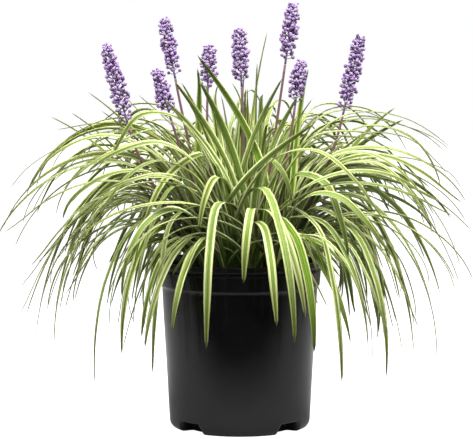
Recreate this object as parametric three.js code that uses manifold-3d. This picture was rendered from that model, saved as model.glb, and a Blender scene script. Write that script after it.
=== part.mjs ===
// A clump of variegated lilyturf (liriope) in flower, growing in a round plastic nursery pot.
//
// Units are millimetres and +Z is up. The origin is the middle of the pot's flat floor, -Y is the
// plant's front and +X its right. The plant is an assembly of separate pieces:
//   pot, potting_mix       the container and the soil that fills it
//   leaf_fan_01 ... _24    one shoot each: a crown in a hole in the soil, with its leaves fused to it
//   flower_stalk_1 ... _8  bare scapes, each in its own hole in the soil
//   flower_spike_1 ... _8  racemes of buds, each at the end of its stalk
import * as THREE from "three";
import { mergeVertices } from "three/addons/utils/BufferGeometryUtils.js";
import Module from "manifold-3d";

const wasm = await Module();
wasm.setup();

// ---------------------------------------------------------------- driving dimensions

const GAP = 0.3; // between pieces that touch in the real plant
const TURN = 2 * Math.PI;
const UP = new THREE.Vector3(0, 0, 1);
const GOLDEN_TURN = Math.PI * (3 - Math.sqrt(5)); // spreads repeats evenly round an axis

// The pot: a tapered wall under a wider collar band, with a lip above the band.
const POT_SIDES = 32;
const WALL = 1.6;
const FLOOR = 2;
const FOOT_RADIUS = 66.5; // edge of the flat floor
const WALL_FOOT = { radius: 72.6, height: 6 };
const WALL_TOP = { radius: 80.6, height: 147.5 };
const COLLAR_FOOT = { radius: 82.9, height: 147.5 };
const COLLAR_TOP = { radius: 84.1, height: 163.5 };
const GROOVE = { radius: 81.8, height: 165.3 };
const LIP = { radius: 83.4, inner: 79.4, foot: 167.2, top: 173 };

// The drain notches at the pot's foot, with slanting sides.
const NOTCHES = 4;
const NOTCH_FOOT_WIDTH = 34;
const NOTCH_TOP_WIDTH = 20;
const NOTCH_HEIGHT = 10.5;
const NOTCH_CORNER = 1.5;
const NOTCH_INNER_RADIUS = 58;
const NOTCH_OUTER_RADIUS = 80;

// The soil, a little higher in the middle.
const SOIL_EDGE = 149;
const SOIL_MIDDLE = 151;
const SOIL_MIDDLE_RADIUS = 56;

// The shoots stand in three rings in the middle of the soil. In the inner ring a shoot's leaves part
// to both sides along its ring. In the other rings they all lean outwards, a little to either side.
const CLUMP_CENTRE = new THREE.Vector2(4, 0);
const SHOOT_RINGS = [
  { count: 3, radius: 8.5, parts: true, spread: 1.5, upright: 0.02, leaning: 0.3 },
  { count: 8, radius: 24.5, parts: false, spread: 0.5, upright: 0.02, leaning: 0.42 },
  { count: 13, radius: 43, parts: false, spread: 0.32, upright: 0.1, leaning: 0.65 },
];
const RING_AGES = [
  { youngest: 0, oldest: 0.4 },
  { youngest: 0.08, oldest: 0.62 },
  { youngest: 0.36, oldest: 0.98 },
];
const CROWN = { length: 17.2, shoulder: 14, thickness: 5.8, depth: 12 };
const CROWN_TOP = 165.4; // height of the crowns' flat tops
const HOLE_OVERSHOOT = 1; // how far a hole's cutter stands out of the soil

// The leaves.
const LEAVES_PER_SHOOT = 12;
const LEAF_STEP = 1.22; // from one leaf's root to the next
const LEAF_WIDTH = 9.4;
const LEAF_KEEL = 1.3; // how far the midrib stands out under the leaf's edges
const LEAF_ROOT_DEPTH = 4.4; // below the top of the crown
const UPRIGHT_AGE = 0.3; // younger leaves have no crest
const UPRIGHT_SWAY = 1.2; // how far they point away from their shoot's direction, in radians
const FREE_SWAY = 0.26; // the same for the other free leaves
const UPRIGHT_ROLL = 1.3; // the most that one turns about its own line up to its tip
const FREE_ROLL = 0.4; // the same for the other free leaves
const FRONT_ROLL = 0.2; // the same for the leaves with a given root
const ROLL_RATE = 1.6; // how soon a leaf has turned, as the inverse of a share of its length
const FRONT = -TURN / 4; // the direction of the plant's front
const FRONT_CLEARED = 0.62; // free leaves point at least this far away from it, in radians
const FRONT_REACH = 1.5; // the leaves up to this far from it are turned away
const SLIM_BEHIND = -45; // leaves that end further back than this are slim
const FRONT_LIFT = 80; // how much higher the oldest leaves end in front
const LEAST_HEIGHT = 178; // of a leaf's middle line inside the pot's rim
const CLEARANCE = 0.45; // kept between leaves of different shoots
const OWN_CLEARANCE = 0.04; // kept between leaves of one shoot
const RIM_ROOM = { side: 2, above: 2, sides: 16 };

// The search for room: how often a leaf is tried, and how far a chosen one strays each time.
const SEED = 2031;
const CHOSEN_PLACES = 9;
const CHOSEN_ATTEMPTS = 54;
const CHOSEN_STRAY = 0.8;
const TURN_WEIGHT = 0.6; // of a mismatch in the way that a chosen leaf points, in radians
const AGE_WEIGHT = 0.5; // of one in its age
const ROOT_SHARE = 0.28; // of the way out to a chosen leaf's crest, where its root is wanted
const ROOT_STRAY = 16; // a root this much too far from the one given is a full mismatch
const LOOSE_STRAY = 55; // the same where none is given
const FREE_ATTEMPTS = 60;
const FOOT_SEARCH_STEP = 0.7;

// The flower stalks and spikes.
const STALK = { sides: 5, footRadius: 1.7, topRadius: 1.2, depth: 16, hole: 2.9, room: 2.2 };
const WHORL = {
  buds: 5,
  pitch: 6.6, // from one whorl to the next
  first: 6, // from the spike's foot to its lowest whorl
  radius: 9,
  axis: 1.6,
  sizes: [0.8, 1, 1, 0.95, 0.8, 0.55], // from the lowest whorl to the tip
};

// ---------------------------------------------------------------- materials

const material = (color, roughness) =>
  new THREE.MeshStandardMaterial({ color, roughness, metalness: 0 });
const POT_PLASTIC = material(0x232425, 0.45);
const SOIL_MATERIAL = material(0x2e2018, 0.95);
const LEAF_MATERIAL = material(0x7f9c46, 0.5);
const STALK_MATERIAL = material(0x7a5a4c, 0.6);
const BUD_MATERIAL = material(0x8a68b0, 0.6);

// ---------------------------------------------------------------- solids

// A closed geometry as a solid that can be cut and joined.
function solidOf(geometry) {
  const bare = geometry.clone();
  bare.deleteAttribute("normal");
  bare.deleteAttribute("uv");
  const merged = mergeVertices(bare, 1e-4);
  return new wasm.Manifold(
    new wasm.Mesh({
      numProp: 3,
      vertProperties: merged.attributes.position.array,
      triVerts: new Uint32Array(merged.index.array),
    }),
  );
}

// A solid as a geometry that three.js can show.
function geometryOf(solid) {
  const { vertProperties, triVerts } = solid.getMesh();
  const geometry = new THREE.BufferGeometry();
  geometry.setAttribute("position", new THREE.BufferAttribute(vertProperties, 3));
  geometry.setIndex(new THREE.BufferAttribute(triVerts, 1));
  geometry.computeVertexNormals();
  return geometry;
}

function meshOf(name, solid, itsMaterial) {
  const mesh = new THREE.Mesh(geometryOf(solid), itsMaterial);
  mesh.name = name;
  return mesh;
}

// A closed skin over rings of equal count, from the first ring's flat cap to the last ring's cap,
// or to a point past the last ring. Each ring runs anticlockwise as seen from the far end. The
// diagonals of a blade's two faces run alike, or the faces would cross where a thin blade twists.
function skin(rings, point, isBlade = false) {
  const positions = rings.flat().flatMap((v) => v.toArray());
  const faces = [];
  const count = rings[0].length;
  const last = (rings.length - 1) * count;
  for (let ring = 1; ring < rings.length; ring++)
    for (let i = 0; i < count; i++) {
      const here = (ring - 1) * count + i;
      const next = (ring - 1) * count + ((i + 1) % count);
      const under = isBlade && 2 * i >= count - 1;
      if (under) faces.push(here, next, here + count, next, next + count, here + count);
      else faces.push(here, next, next + count, here, next + count, here + count);
    }
  for (let i = 1; i < count - 1; i++) {
    faces.push(0, i + 1, i);
    if (!point) faces.push(last, last + i, last + i + 1);
  }
  if (point) {
    positions.push(...point.toArray());
    for (let i = 0; i < count; i++)
      faces.push(last + i, last + ((i + 1) % count), last + count);
  }
  const geometry = new THREE.BufferGeometry();
  geometry.setAttribute("position", new THREE.Float32BufferAttribute(positions, 3));
  geometry.setIndex(faces);
  return geometry;
}

// A lathe profile of [radius, height] pairs, turned about the Z axis.
function turned(profile, sides) {
  const points = profile.map(([radius, height]) => new THREE.Vector2(radius, height));
  return new THREE.LatheGeometry(points, sides).rotateX(Math.PI / 2);
}

// Repeatable random numbers from 0 to 1.
function seededRandom(seed) {
  let state = seed;
  return () => {
    state = (state + 0x6d2b79f5) | 0;
    let mixed = Math.imul(state ^ (state >>> 15), 1 | state);
    mixed = (mixed + Math.imul(mixed ^ (mixed >>> 7), 61 | mixed)) ^ mixed;
    return ((mixed ^ (mixed >>> 14)) >>> 0) / 4294967296;
  };
}

// The value at a place in a list of evenly spaced keys, for a place from 0 to 1.
function keyed(keys, place) {
  const along = THREE.MathUtils.clamp(place, 0, 1) * (keys.length - 1);
  const first = Math.min(Math.floor(along), keys.length - 2);
  return THREE.MathUtils.lerp(keys[first], keys[first + 1], along - first);
}

// ---------------------------------------------------------------- pot and soil

// The inside radius of the pot's wall at a height.
function insideRadius(height) {
  const share = (height - WALL_FOOT.height) / (WALL_TOP.height - WALL_FOOT.height);
  return THREE.MathUtils.lerp(WALL_FOOT.radius, WALL_TOP.radius, Math.min(1, share)) - WALL;
}

function potSolid() {
  const outside = [
    [0, 0],
    [FOOT_RADIUS, 0],
    [FOOT_RADIUS + 4.4, 1.8],
    [WALL_FOOT.radius, WALL_FOOT.height],
    [WALL_TOP.radius, WALL_TOP.height],
    [COLLAR_FOOT.radius, COLLAR_FOOT.height],
    [COLLAR_TOP.radius, COLLAR_TOP.height],
    [GROOVE.radius, GROOVE.height],
    [LIP.radius, LIP.foot],
    [LIP.radius - 0.6, LIP.top],
  ];
  const inside = [
    [LIP.inner, LIP.top],
    [insideRadius(WALL_TOP.height), WALL_TOP.height],
    [insideRadius(WALL_FOOT.height), WALL_FOOT.height],
    [FOOT_RADIUS - 0.6, FLOOR],
    [0, FLOOR],
  ];
  let pot = solidOf(turned([...outside, ...inside], POT_SIDES));
  for (let i = 0; i < NOTCHES; i++) {
    const turn = ((i + 0.5) * TURN) / NOTCHES;
    pot = pot.subtract(solidOf(notchGeometry().rotateZ(turn)));
  }
  return pot;
}

// The block that cuts one drain notch through the pot's foot, on the +X side.
function notchGeometry() {
  const foot = NOTCH_FOOT_WIDTH / 2;
  const top = NOTCH_TOP_WIDTH / 2;
  const outline = new THREE.Shape();
  outline.moveTo(-foot, -1);
  outline.lineTo(foot, -1);
  outline.lineTo(top + NOTCH_CORNER, NOTCH_HEIGHT - NOTCH_CORNER);
  outline.lineTo(top, NOTCH_HEIGHT);
  outline.lineTo(-top, NOTCH_HEIGHT);
  outline.lineTo(-top - NOTCH_CORNER, NOTCH_HEIGHT - NOTCH_CORNER);
  const depth = NOTCH_OUTER_RADIUS - NOTCH_INNER_RADIUS;
  const block = new THREE.ExtrudeGeometry(outline, { depth, bevelEnabled: false });
  return block
    .rotateX(Math.PI / 2)
    .rotateZ(Math.PI / 2)
    .translate(NOTCH_INNER_RADIUS, 0, 0);
}

// The soil follows the inside of the pot, and every shoot and stalk takes a plain hole out of it.
function soilSolid(holes) {
  const profile = [
    [0, FLOOR + GAP],
    [FOOT_RADIUS - 1.4, FLOOR + GAP],
    [insideRadius(WALL_FOOT.height) - GAP, WALL_FOOT.height + GAP],
    [insideRadius(SOIL_EDGE) - GAP, SOIL_EDGE],
    [SOIL_MIDDLE_RADIUS, SOIL_MIDDLE],
    [0, SOIL_MIDDLE],
  ];
  let soil = solidOf(turned(profile, POT_SIDES));
  for (const hole of holes) soil = soil.subtract(solidOf(hole));
  return soil;
}

// ---------------------------------------------------------------- flower stalks and spikes

// Where each stalk leaves the soil, where its buds begin, and the tip of its spike.
const SPIKES = [
  { foot: [-36, -14], neck: [-113, -30, 312], tip: [-136, -31, 395] },
  { foot: [-27, 16], neck: [-67, 25, 359], tip: [-79, 26, 422] },
  { foot: [-12, -24], neck: [-69, -35, 317], tip: [-85, -36, 370] },
  { foot: [-16, 34], neck: [-34, 60, 344], tip: [-32, 62, 395] },
  { foot: [-4, 4], neck: [2, -5, 351], tip: [-1, -5, 412] },
  { foot: [22, 14], neck: [47, 20, 374], tip: [56, 20, 438] },
  { foot: [17, -16], neck: [56, -25, 332], tip: [62, -25, 378] },
  { foot: [40, 2], neck: [106, 0, 322], tip: [124, 0, 404] },
];

// The stalk's middle line: straight up out of the soil, then a bend that ends along its spike.
function stalkLine({ foot, neck, tip }) {
  const neckPoint = new THREE.Vector3(...neck);
  const lean = new THREE.Vector3(...tip).sub(neckPoint).normalize();
  const surface = new THREE.Vector3(foot.x, foot.y, SOIL_MIDDLE);
  const rise = neckPoint.z - surface.z;
  const start = surface.clone().setZ(surface.z + 0.25 * rise);
  const bend = neckPoint.clone().addScaledVector(lean, (-0.5 * rise) / lean.z);
  const line = new THREE.CurvePath();
  line.add(new THREE.LineCurve3(surface.clone().setZ(surface.z - STALK.depth), surface));
  line.add(new THREE.CubicBezierCurve3(surface, start, bend, neckPoint));
  return line;
}

// A ring of points round a middle point, square to a direction.
function ringAcross(middle, direction, radius, sides, turn = 0) {
  const across = new THREE.Vector3(1, 0, 0).cross(direction).normalize();
  const other = direction.clone().cross(across);
  return Array.from({ length: sides }, (_, i) => {
    const angle = turn + (i * TURN) / sides;
    return middle
      .clone()
      .addScaledVector(across, radius * Math.cos(angle))
      .addScaledVector(other, radius * Math.sin(angle));
  });
}

// A round bar along a curve, with a ring at each of the given shares of its length.
function barGeometry(curve, shares, startRadius, endRadius, sides) {
  const rings = shares.map((share) => {
    const radius = THREE.MathUtils.lerp(startRadius, endRadius, share);
    return ringAcross(curve.getPointAt(share), curve.getTangentAt(share), radius, sides);
  });
  return skin(rings);
}

// The stalk has rings at its lower end, at the soil's surface and evenly up to the neck.
function stalkGeometry(spike) {
  const line = stalkLine(spike);
  const surface = STALK.depth / line.getLength();
  const above = [0.2, 0.4, 0.6, 0.8, 1].map((share) => THREE.MathUtils.lerp(surface, 1, share));
  return barGeometry(line, [0, surface, ...above], STALK.footRadius, STALK.topRadius, STALK.sides);
}

// One flower spike: a thin axis whose skin stands out in whorls of pointed buds, each whorl turned
// by half a bud from the one below it, and smaller towards the tip.
function spikeGeometry({ neck, tip }) {
  const start = new THREE.Vector3(...neck);
  const end = new THREE.Vector3(...tip);
  const lean = end.clone().sub(start).normalize();
  start.addScaledVector(lean, GAP);
  const length = start.distanceTo(end) - WHORL.first;
  const whorls = Math.round(length / WHORL.pitch);
  const at = (distance) => start.clone().addScaledVector(lean, distance);
  const sides = 2 * WHORL.buds;
  const rings = [ringAcross(start, lean, WHORL.axis, sides)];
  rings.push(ringAcross(at(WHORL.first - WHORL.pitch / 2), lean, WHORL.axis, sides));
  for (let k = 0; k < whorls; k++) {
    const share = k / whorls;
    const middle = at(WHORL.first + share * length);
    const reach = WHORL.radius * keyed(WHORL.sizes, share);
    const inner = ringAcross(middle, lean, WHORL.axis * 1.3, sides);
    const outer = ringAcross(middle.clone().addScaledVector(lean, 1.5), lean, reach, sides);
    rings.push(inner.map((point, i) => ((i + k) % 2 ? point : outer[i])));
    rings.push(ringAcross(at(WHORL.first + (share + 0.5 / whorls) * length), lean, WHORL.axis, sides));
  }
  return skin(rings, end);
}

// ---------------------------------------------------------------- leaves

// The rings of a leaf above its sheath: their shares of its length, and of its full width on a broad
// leaf and on a slim one, which tapers sooner.
const LEAF_RINGS = [
  { at: 0, broad: 0.5, slim: 0.5 },
  { at: 0.2, broad: 0.8, slim: 0.85 },
  { at: 0.4, broad: 0.97, slim: 1 },
  { at: 0.6, broad: 1, slim: 0.92 },
  { at: 0.8, broad: 0.87, slim: 0.68 },
  { at: 0.93, broad: 0.5, slim: 0.38 },
];
const ROOT_WIDTH = 0.4; // as a share of the full width
const SHEATH_LENGTH = 26; // the foot of a leaf, below the rings

// A leaf's middle line: it climbs from the root to its crest, then falls to its tip. A leaf with no
// crest only climbs.
function leafLine({ root, start, crest, tip, hang = 0.6 }) {
  const line = new THREE.CurvePath();
  const top = crest || tip;
  const level = tip.clone().sub(root).setZ(0).normalize();
  const rise = top.z - root.z;
  const reach = Math.hypot(top.x - root.x, top.y - root.y);
  const first = root.clone().addScaledVector(start, 0.5 * rise);
  const second = top.clone().addScaledVector(level, -(crest ? 0.55 : 0.4) * reach);
  if (!crest) second.z -= 0.18 * rise;
  line.add(new THREE.CubicBezierCurve3(root, first, second, top));
  if (crest) {
    const fall = tip.distanceTo(crest.clone().setZ(tip.z));
    const drop = crest.z - tip.z;
    const third = crest.clone().addScaledVector(level, 0.5 * fall);
    const fourth = tip.clone().addScaledVector(level, -0.3 * fall * (1 - hang));
    fourth.z += drop * (0.35 + 0.2 * hang);
    line.add(new THREE.CubicBezierCurve3(crest, third, fourth, tip));
  }
  return line;
}

// The leaf's frame at each ring: its middle, the direction across it and the direction out of its
// upper face.
function leafFrames(leaf) {
  const line = leafLine(leaf);
  const first = (leaf.crest || leaf.tip).clone().sub(leaf.root).setZ(0).normalize();
  const second = leaf.crest ? leaf.tip.clone().sub(leaf.crest).setZ(0).normalize() : first;
  const sheath = SHEATH_LENGTH / line.getLength();
  const spots = LEAF_RINGS.map(({ at, broad, slim }) => ({
    at: sheath + at * (1 - sheath),
    width: leaf.slim ? slim : broad,
  }));
  return [{ at: 0, width: ROOT_WIDTH }, ...spots].map(({ at, width }) => {
    const middle = line.getPoint(at);
    const along = line.getPoint(at + 0.02).sub(line.getPoint(Math.max(0, at - 0.02))).normalize();
    const early = leaf.start.clone().setZ(0).normalize().lerp(first, Math.min(1, at / 0.4));
    const level = early.lerp(second, Math.max(0, at - 0.4) / 0.6).normalize();
    const across = new THREE.Vector3(level.y, -level.x, 0);
    across.addScaledVector(along, -across.dot(along)).normalize();
    across.applyAxisAngle(along, leaf.roll * Math.min(1, ROLL_RATE * at));
    return { middle, across, upper: across.clone().cross(along), half: (leaf.width * width) / 2 };
  });
}

// The leaf as a shallow V with a keel. A margin makes a fuller box round it, to test for room.
function leafGeometry(leaf, frames, margin = 0) {
  const rings = frames.map(({ middle, across, upper, half }) => {
    const place = (side, up) =>
      middle.clone().addScaledVector(across, side).addScaledVector(upper, up);
    const under = -LEAF_KEEL * Math.sqrt((2 * half) / leaf.width);
    if (!margin) return [place(-half, 0), place(half, 0), place(0, under)];
    const side = half + margin;
    return [
      place(-side, margin),
      place(side, margin),
      place(side, under - margin),
      place(-side, under - margin),
    ];
  });
  return skin(rings, leaf.tip, true);
}

// ---------------------------------------------------------------- room between the pieces

// A box round each stretch of a row of points.
function stretchBoxes(points, reach) {
  return points.slice(1).map((point, i) =>
    new THREE.Box3().setFromPoints([points[i], point]).expandByScalar(reach),
  );
}

// A solid that leaves stay clear of. One with an owner is that shoot's crown, which its own leaves
// grow out of.
function obstacleOf(geometry, owner = null) {
  geometry.computeBoundingBox();
  return { owner, solid: solidOf(geometry), boxes: [geometry.boundingBox] };
}

const boxesMeet = (boxes, others) =>
  boxes.some((box) => others.some((other) => box.intersectsBox(other)));

// Whether a leaf, drawn by its frames, is clear of every obstacle. A leaf may come closer to the
// other leaves of its own shoot.
function hasRoom(leaf, frames, boxes, obstacles) {
  const room = solidOf(leafGeometry(leaf, frames, CLEARANCE));
  const ownRoom = solidOf(leafGeometry(leaf, frames, OWN_CLEARANCE));
  const blocked = obstacles.some((other) => {
    const own = other.owner === leaf.shoot;
    if ((own && !other.isLeaf) || !boxesMeet(boxes, other.boxes)) return false;
    return !(own ? ownRoom : room).intersect(other.solid).isEmpty();
  });
  room.delete();
  ownRoom.delete();
  return !blocked;
}

// The leaf as a solid, or null where it would touch something or sag into the pot.
function grownLeaf(leaf, obstacles) {
  const frames = leafFrames(leaf);
  const sags = frames.slice(2).some(
    ({ middle }) => middle.z < LEAST_HEIGHT && Math.hypot(middle.x, middle.y) < LIP.radius,
  );
  if (sags) return null;
  const points = [...frames.map((frame) => frame.middle), leaf.tip];
  const boxes = stretchBoxes(points, leaf.width / 2 + LEAF_KEEL);
  if (!hasRoom(leaf, frames, boxes, obstacles)) return null;
  return { owner: leaf.shoot, isLeaf: true, solid: solidOf(leafGeometry(leaf, frames)), boxes };
}

// ---------------------------------------------------------------- shoots

const levelDirection = (turn) => new THREE.Vector3(Math.cos(turn), Math.sin(turn), 0);

// Each shoot's place in the soil. Its crown's long side is the way in which its leaves are stacked.
function shootList(random) {
  return SHOOT_RINGS.flatMap((ring, level) =>
    Array.from({ length: ring.count }, (_, i) => {
      const turn = ((i + 0.5 * (level % 2) + 0.2 * (random() - 0.5)) * TURN) / ring.count;
      const place = levelDirection(turn).multiplyScalar(ring.radius);
      place.x += CLUMP_CENTRE.x;
      place.y += CLUMP_CENTRE.y;
      const stackTurn = ring.parts ? turn + TURN / 4 : turn;
      return { ring, turn, stackTurn, place, leaves: [] };
    }),
  );
}

// The places for leaves in a shoot: which way each leaf leaves it, its age and its root.
function leafPlaces(shoot, random) {
  const { upright, leaning, spread, parts } = shoot.ring;
  const { youngest, oldest } = RING_AGES[SHOOT_RINGS.indexOf(shoot.ring)];
  const opening = spread * (0.8 + 0.4 * random());
  const stack = levelDirection(shoot.stackTurn);
  return Array.from({ length: LEAVES_PER_SHOOT }, (_, i) => {
    const side = i % 2 ? 1 : -1;
    const offset = parts ? side * (i + 0.8) * 0.5 : i - (LEAVES_PER_SHOOT - 1) / 2;
    const share = (i + 0.5) / LEAVES_PER_SHOOT;
    const tilt = THREE.MathUtils.lerp(upright, leaning, share);
    const root = shoot.place.clone().addScaledVector(stack, offset * LEAF_STEP);
    root.z = CROWN_TOP - LEAF_ROOT_DEPTH;
    return {
      shoot,
      root,
      age: THREE.MathUtils.lerp(youngest, oldest, share),
      turn: shoot.turn + side * opening,
      start: stack.clone().multiplyScalar(parts ? side : 1).setZ(1 / Math.tan(tilt)).normalize(),
    };
  });
}

// The six corners of a crown, or of the hole that it stands in, at a height.
function crownRing(height, spare = 0) {
  const end = CROWN.length / 2 + 1.5 * spare;
  const shoulder = CROWN.shoulder / 2 + spare;
  const side = CROWN.thickness / 2 + spare;
  const corners = [
    [end, 0],
    [shoulder, side],
    [-shoulder, side],
    [-end, 0],
    [-shoulder, -side],
    [shoulder, -side],
  ];
  return corners.map(([x, y]) => new THREE.Vector3(x, y, height));
}

function crownGeometry({ place, stackTurn }) {
  const rings = [crownRing(SOIL_MIDDLE - CROWN.depth), crownRing(CROWN_TOP)];
  return skin(rings).rotateZ(stackTurn).translate(place.x, place.y, 0);
}

function crownHoleGeometry({ place, stackTurn }) {
  const foot = SOIL_MIDDLE - CROWN.depth - GAP;
  const rings = [crownRing(foot, GAP), crownRing(SOIL_MIDDLE + HOLE_OVERSHOOT, GAP)];
  return skin(rings).rotateZ(stackTurn).translate(place.x, place.y, 0);
}

function stalkHoleGeometry({ foot }) {
  const height = STALK.depth + GAP + HOLE_OVERSHOOT;
  return new THREE.CylinderGeometry(STALK.hole, STALK.hole, height, STALK.sides)
    .rotateX(Math.PI / 2)
    .translate(foot.x, foot.y, SOIL_MIDDLE + HOLE_OVERSHOOT - height / 2);
}

// Whether a stalk's foot is clear of a crown.
function clearOfCrown(foot, { place, stackTurn }) {
  const away = foot.clone().sub(place).applyAxisAngle(UP, -stackTurn);
  const along = Math.abs(away.x) - CROWN.length / 2;
  const across = Math.abs(away.y) - CROWN.thickness / 2;
  return Math.max(along, across) > STALK.hole + STALK.room;
}

// The place nearest to a stalk's wanted foot that is clear of every crown and every other stalk.
function freeFoot([x, y], shoots, others) {
  for (let i = 0; ; i++) {
    const away = levelDirection(i * GOLDEN_TURN).multiplyScalar(FOOT_SEARCH_STEP * Math.sqrt(i));
    const foot = away.add(new THREE.Vector3(x, y, 0));
    const besideCrowns = shoots.every((shoot) => clearOfCrown(foot, shoot));
    const besideStalks = others.every((other) => other.distanceTo(foot) > 3 * STALK.hole);
    if (besideCrowns && besideStalks) return foot;
  }
}

// ---------------------------------------------------------------- how the leaves hang

// The free leaves' crests and tips by age, from the young upright ones in the middle to the old
// hanging ones at the edge: distances are from the clump's middle.
const BY_AGE = {
  tipDistance: [55, 110, 168, 215, 238, 226, 196, 150],
  tipHeight: [350, 336, 316, 272, 210, 152, 108, 84],
  crestShare: [0.9, 0.8, 0.66, 0.56, 0.52, 0.52, 0.52, 0.5],
  crestHeight: [348, 334, 322, 300, 268, 238, 213, 196],
};

// The leaves that show in front and in outline, by crest and tip. Those with no crest only climb.
const CHOSEN_LEAVES = [
  { root: [10, -18], crest: [-17, -70, 242], tip: [-33, -125, 98], hang: 1 },
  { root: [-8, -18], crest: [13, -48, 260], tip: [53, -126, 104], hang: 0.9 },
  { root: [4, -14], crest: [-19, -56, 264], tip: [-40, -107, 214] },
  { root: [10, -4], crest: [29, -42, 281], tip: [52, -74, 238] },
  { root: [16, -24], crest: [12, -66, 232], tip: [4, -112, 161] },
  { root: [2, -26], crest: [17, -62, 220], tip: [36, -130, 121] },
  { root: [6, -20], crest: [22, -52, 234], tip: [64, -117, 128] },
  { crest: [55, -54, 237], tip: [101, -98, 60], hang: 1 },
  { crest: [66, -40, 270], tip: [109, -64, 182] },
  { crest: [54, -50, 206], tip: [83, -78, 186] },
  { crest: [50, -45, 200], tip: [110, -84, 97] },
  { crest: [-42, -29, 283], tip: [-104, -68, 170] },
  { crest: [-50, -40, 262], tip: [-107, -81, 116], hang: 0.8 },
  { crest: [-51, -52, 238], tip: [-84, -95, 72], hang: 1 },
  { crest: [-45, -56, 204], tip: [-96, -112, 96] },
  { crest: [-38, -70, 200], tip: [-66, -128, 116] },
  { crest: [-72, -26, 212], tip: [-131, -39, 129] },
  { root: [-26, 6], tip: [-44, 10, 371], roll: -1.6 },
  { root: [32, -4], tip: [-44, -5, 384], roll: -1.3 },
  { root: [34, 8], tip: [18, 12, 376], roll: -1.5 },
  { root: [44, 8], tip: [71, 10, 370], roll: 1.5 },
  { root: [44, 0], tip: [161, 5, 329], roll: 1.3 },
  { root: [-36, 14], tip: [34, 20, 400] },
  { crest: [-130, 0, 284], tip: [-245, 0, 206] },
  { crest: [-118, 12, 270], tip: [-236, 20, 182] },
  { tip: [-198, 25, 319] },
  { crest: [-132, -8, 300], tip: [-237, -12, 245] },
  { crest: [-120, 20, 310], tip: [-217, 30, 245] },
  { tip: [-158, 15, 346] },
  { crest: [-108, -10, 250], tip: [-220, -20, 116], hang: 0.5 },
  { crest: [-112, 14, 262], tip: [-211, 26, 115] },
  { crest: [-95, -16, 240], tip: [-187, -32, 83], hang: 1.1 },
  { crest: [-92, 8, 252], tip: [-190, 12, 85], hang: 0.7 },
  { crest: [-75, -28, 232], tip: [-145, -52, 50], hang: 1.3 },
  { crest: [-80, -20, 246], tip: [-140, -32, 62], hang: 1.2 },
  { crest: [-66, -38, 224], tip: [-118, -66, 82], hang: 1.2 },
  { crest: [122, 0, 290], tip: [238, -2, 233] },
  { crest: [118, 10, 318], tip: [221, 18, 283] },
  { tip: [172, 16, 318] },
  { crest: [116, 14, 278], tip: [230, 26, 210] },
  { crest: [112, 2, 268], tip: [230, 4, 147], hang: 0.5 },
  { crest: [114, -10, 276], tip: [228, -20, 166] },
  { crest: [106, 8, 256], tip: [209, 14, 134] },
  { crest: [98, -12, 246], tip: [196, -24, 125] },
  { crest: [92, -18, 238], tip: [196, -30, 77], hang: 1.1 },
  { crest: [94, 8, 246], tip: [183, 12, 76], hang: 0.8 },
  { crest: [84, -22, 228], tip: [168, -38, 80] },
  { crest: [78, -30, 232], tip: [148, -48, 56], hang: 1.3 },
  { crest: [72, -26, 220], tip: [136, -40, 68], hang: 1.2 },
  { crest: [68, -42, 226], tip: [127, -66, 91], hang: 0.9 },
  { crest: [40, -60, 222], tip: [74, -112, 94], hang: 0.9 },
];

// How well a chosen leaf would grow from a place, lower for better: by the way it points, its age
// and how near it is to the leaf's own root. Most roots lie between the clump's middle and the crest.
function mismatch({ root, crest, tip }, place) {
  const [x, y] = root || (crest || tip).map((along) => ROOT_SHARE * along);
  const age = crest ? (345 - crest[2]) / 130 : (390 - tip[2]) / 200;
  const turn = Math.atan2(tip[1] - place.root.y, tip[0] - place.root.x);
  const away = Math.abs(Math.atan2(Math.sin(turn - place.turn), Math.cos(turn - place.turn)));
  const far = Math.hypot(x - place.root.x, y - place.root.y);
  const turned = TURN_WEIGHT * away + AGE_WEIGHT * Math.abs(age - place.age);
  return turned + far / (root ? ROOT_STRAY : LOOSE_STRAY);
}

// A chosen leaf, grown from a place. Each further attempt strays more from its crest and tip.
function chosenLeaf(place, { root, crest, tip, hang, roll }, attempt, random) {
  const stray = () => (random() - 0.5) * CHOSEN_STRAY * attempt;
  const strayed = ([x, y, z]) => new THREE.Vector3(x + stray(), y + 2 * stray(), z + stray());
  return {
    ...place,
    crest: crest && strayed(crest),
    tip: strayed(tip),
    hang,
    slim: tip[1] > SLIM_BEHIND,
    width: LEAF_WIDTH * (0.84 + 0.14 * random()),
    roll: (random() - 0.5) * 2 * (root ? FRONT_ROLL : FREE_ROLL) + (roll || 0),
  };
}

// A direction turned away from the front, where the chosen leaves hang.
function clearOfFront(turn) {
  const fromFront = Math.atan2(Math.sin(turn - FRONT), Math.cos(turn - FRONT));
  const share = Math.min(1, Math.abs(fromFront) / FRONT_REACH);
  const cleared = THREE.MathUtils.lerp(FRONT_CLEARED, FRONT_REACH, share);
  return share < 1 ? FRONT + Math.sign(fromFront) * cleared : turn;
}

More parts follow.
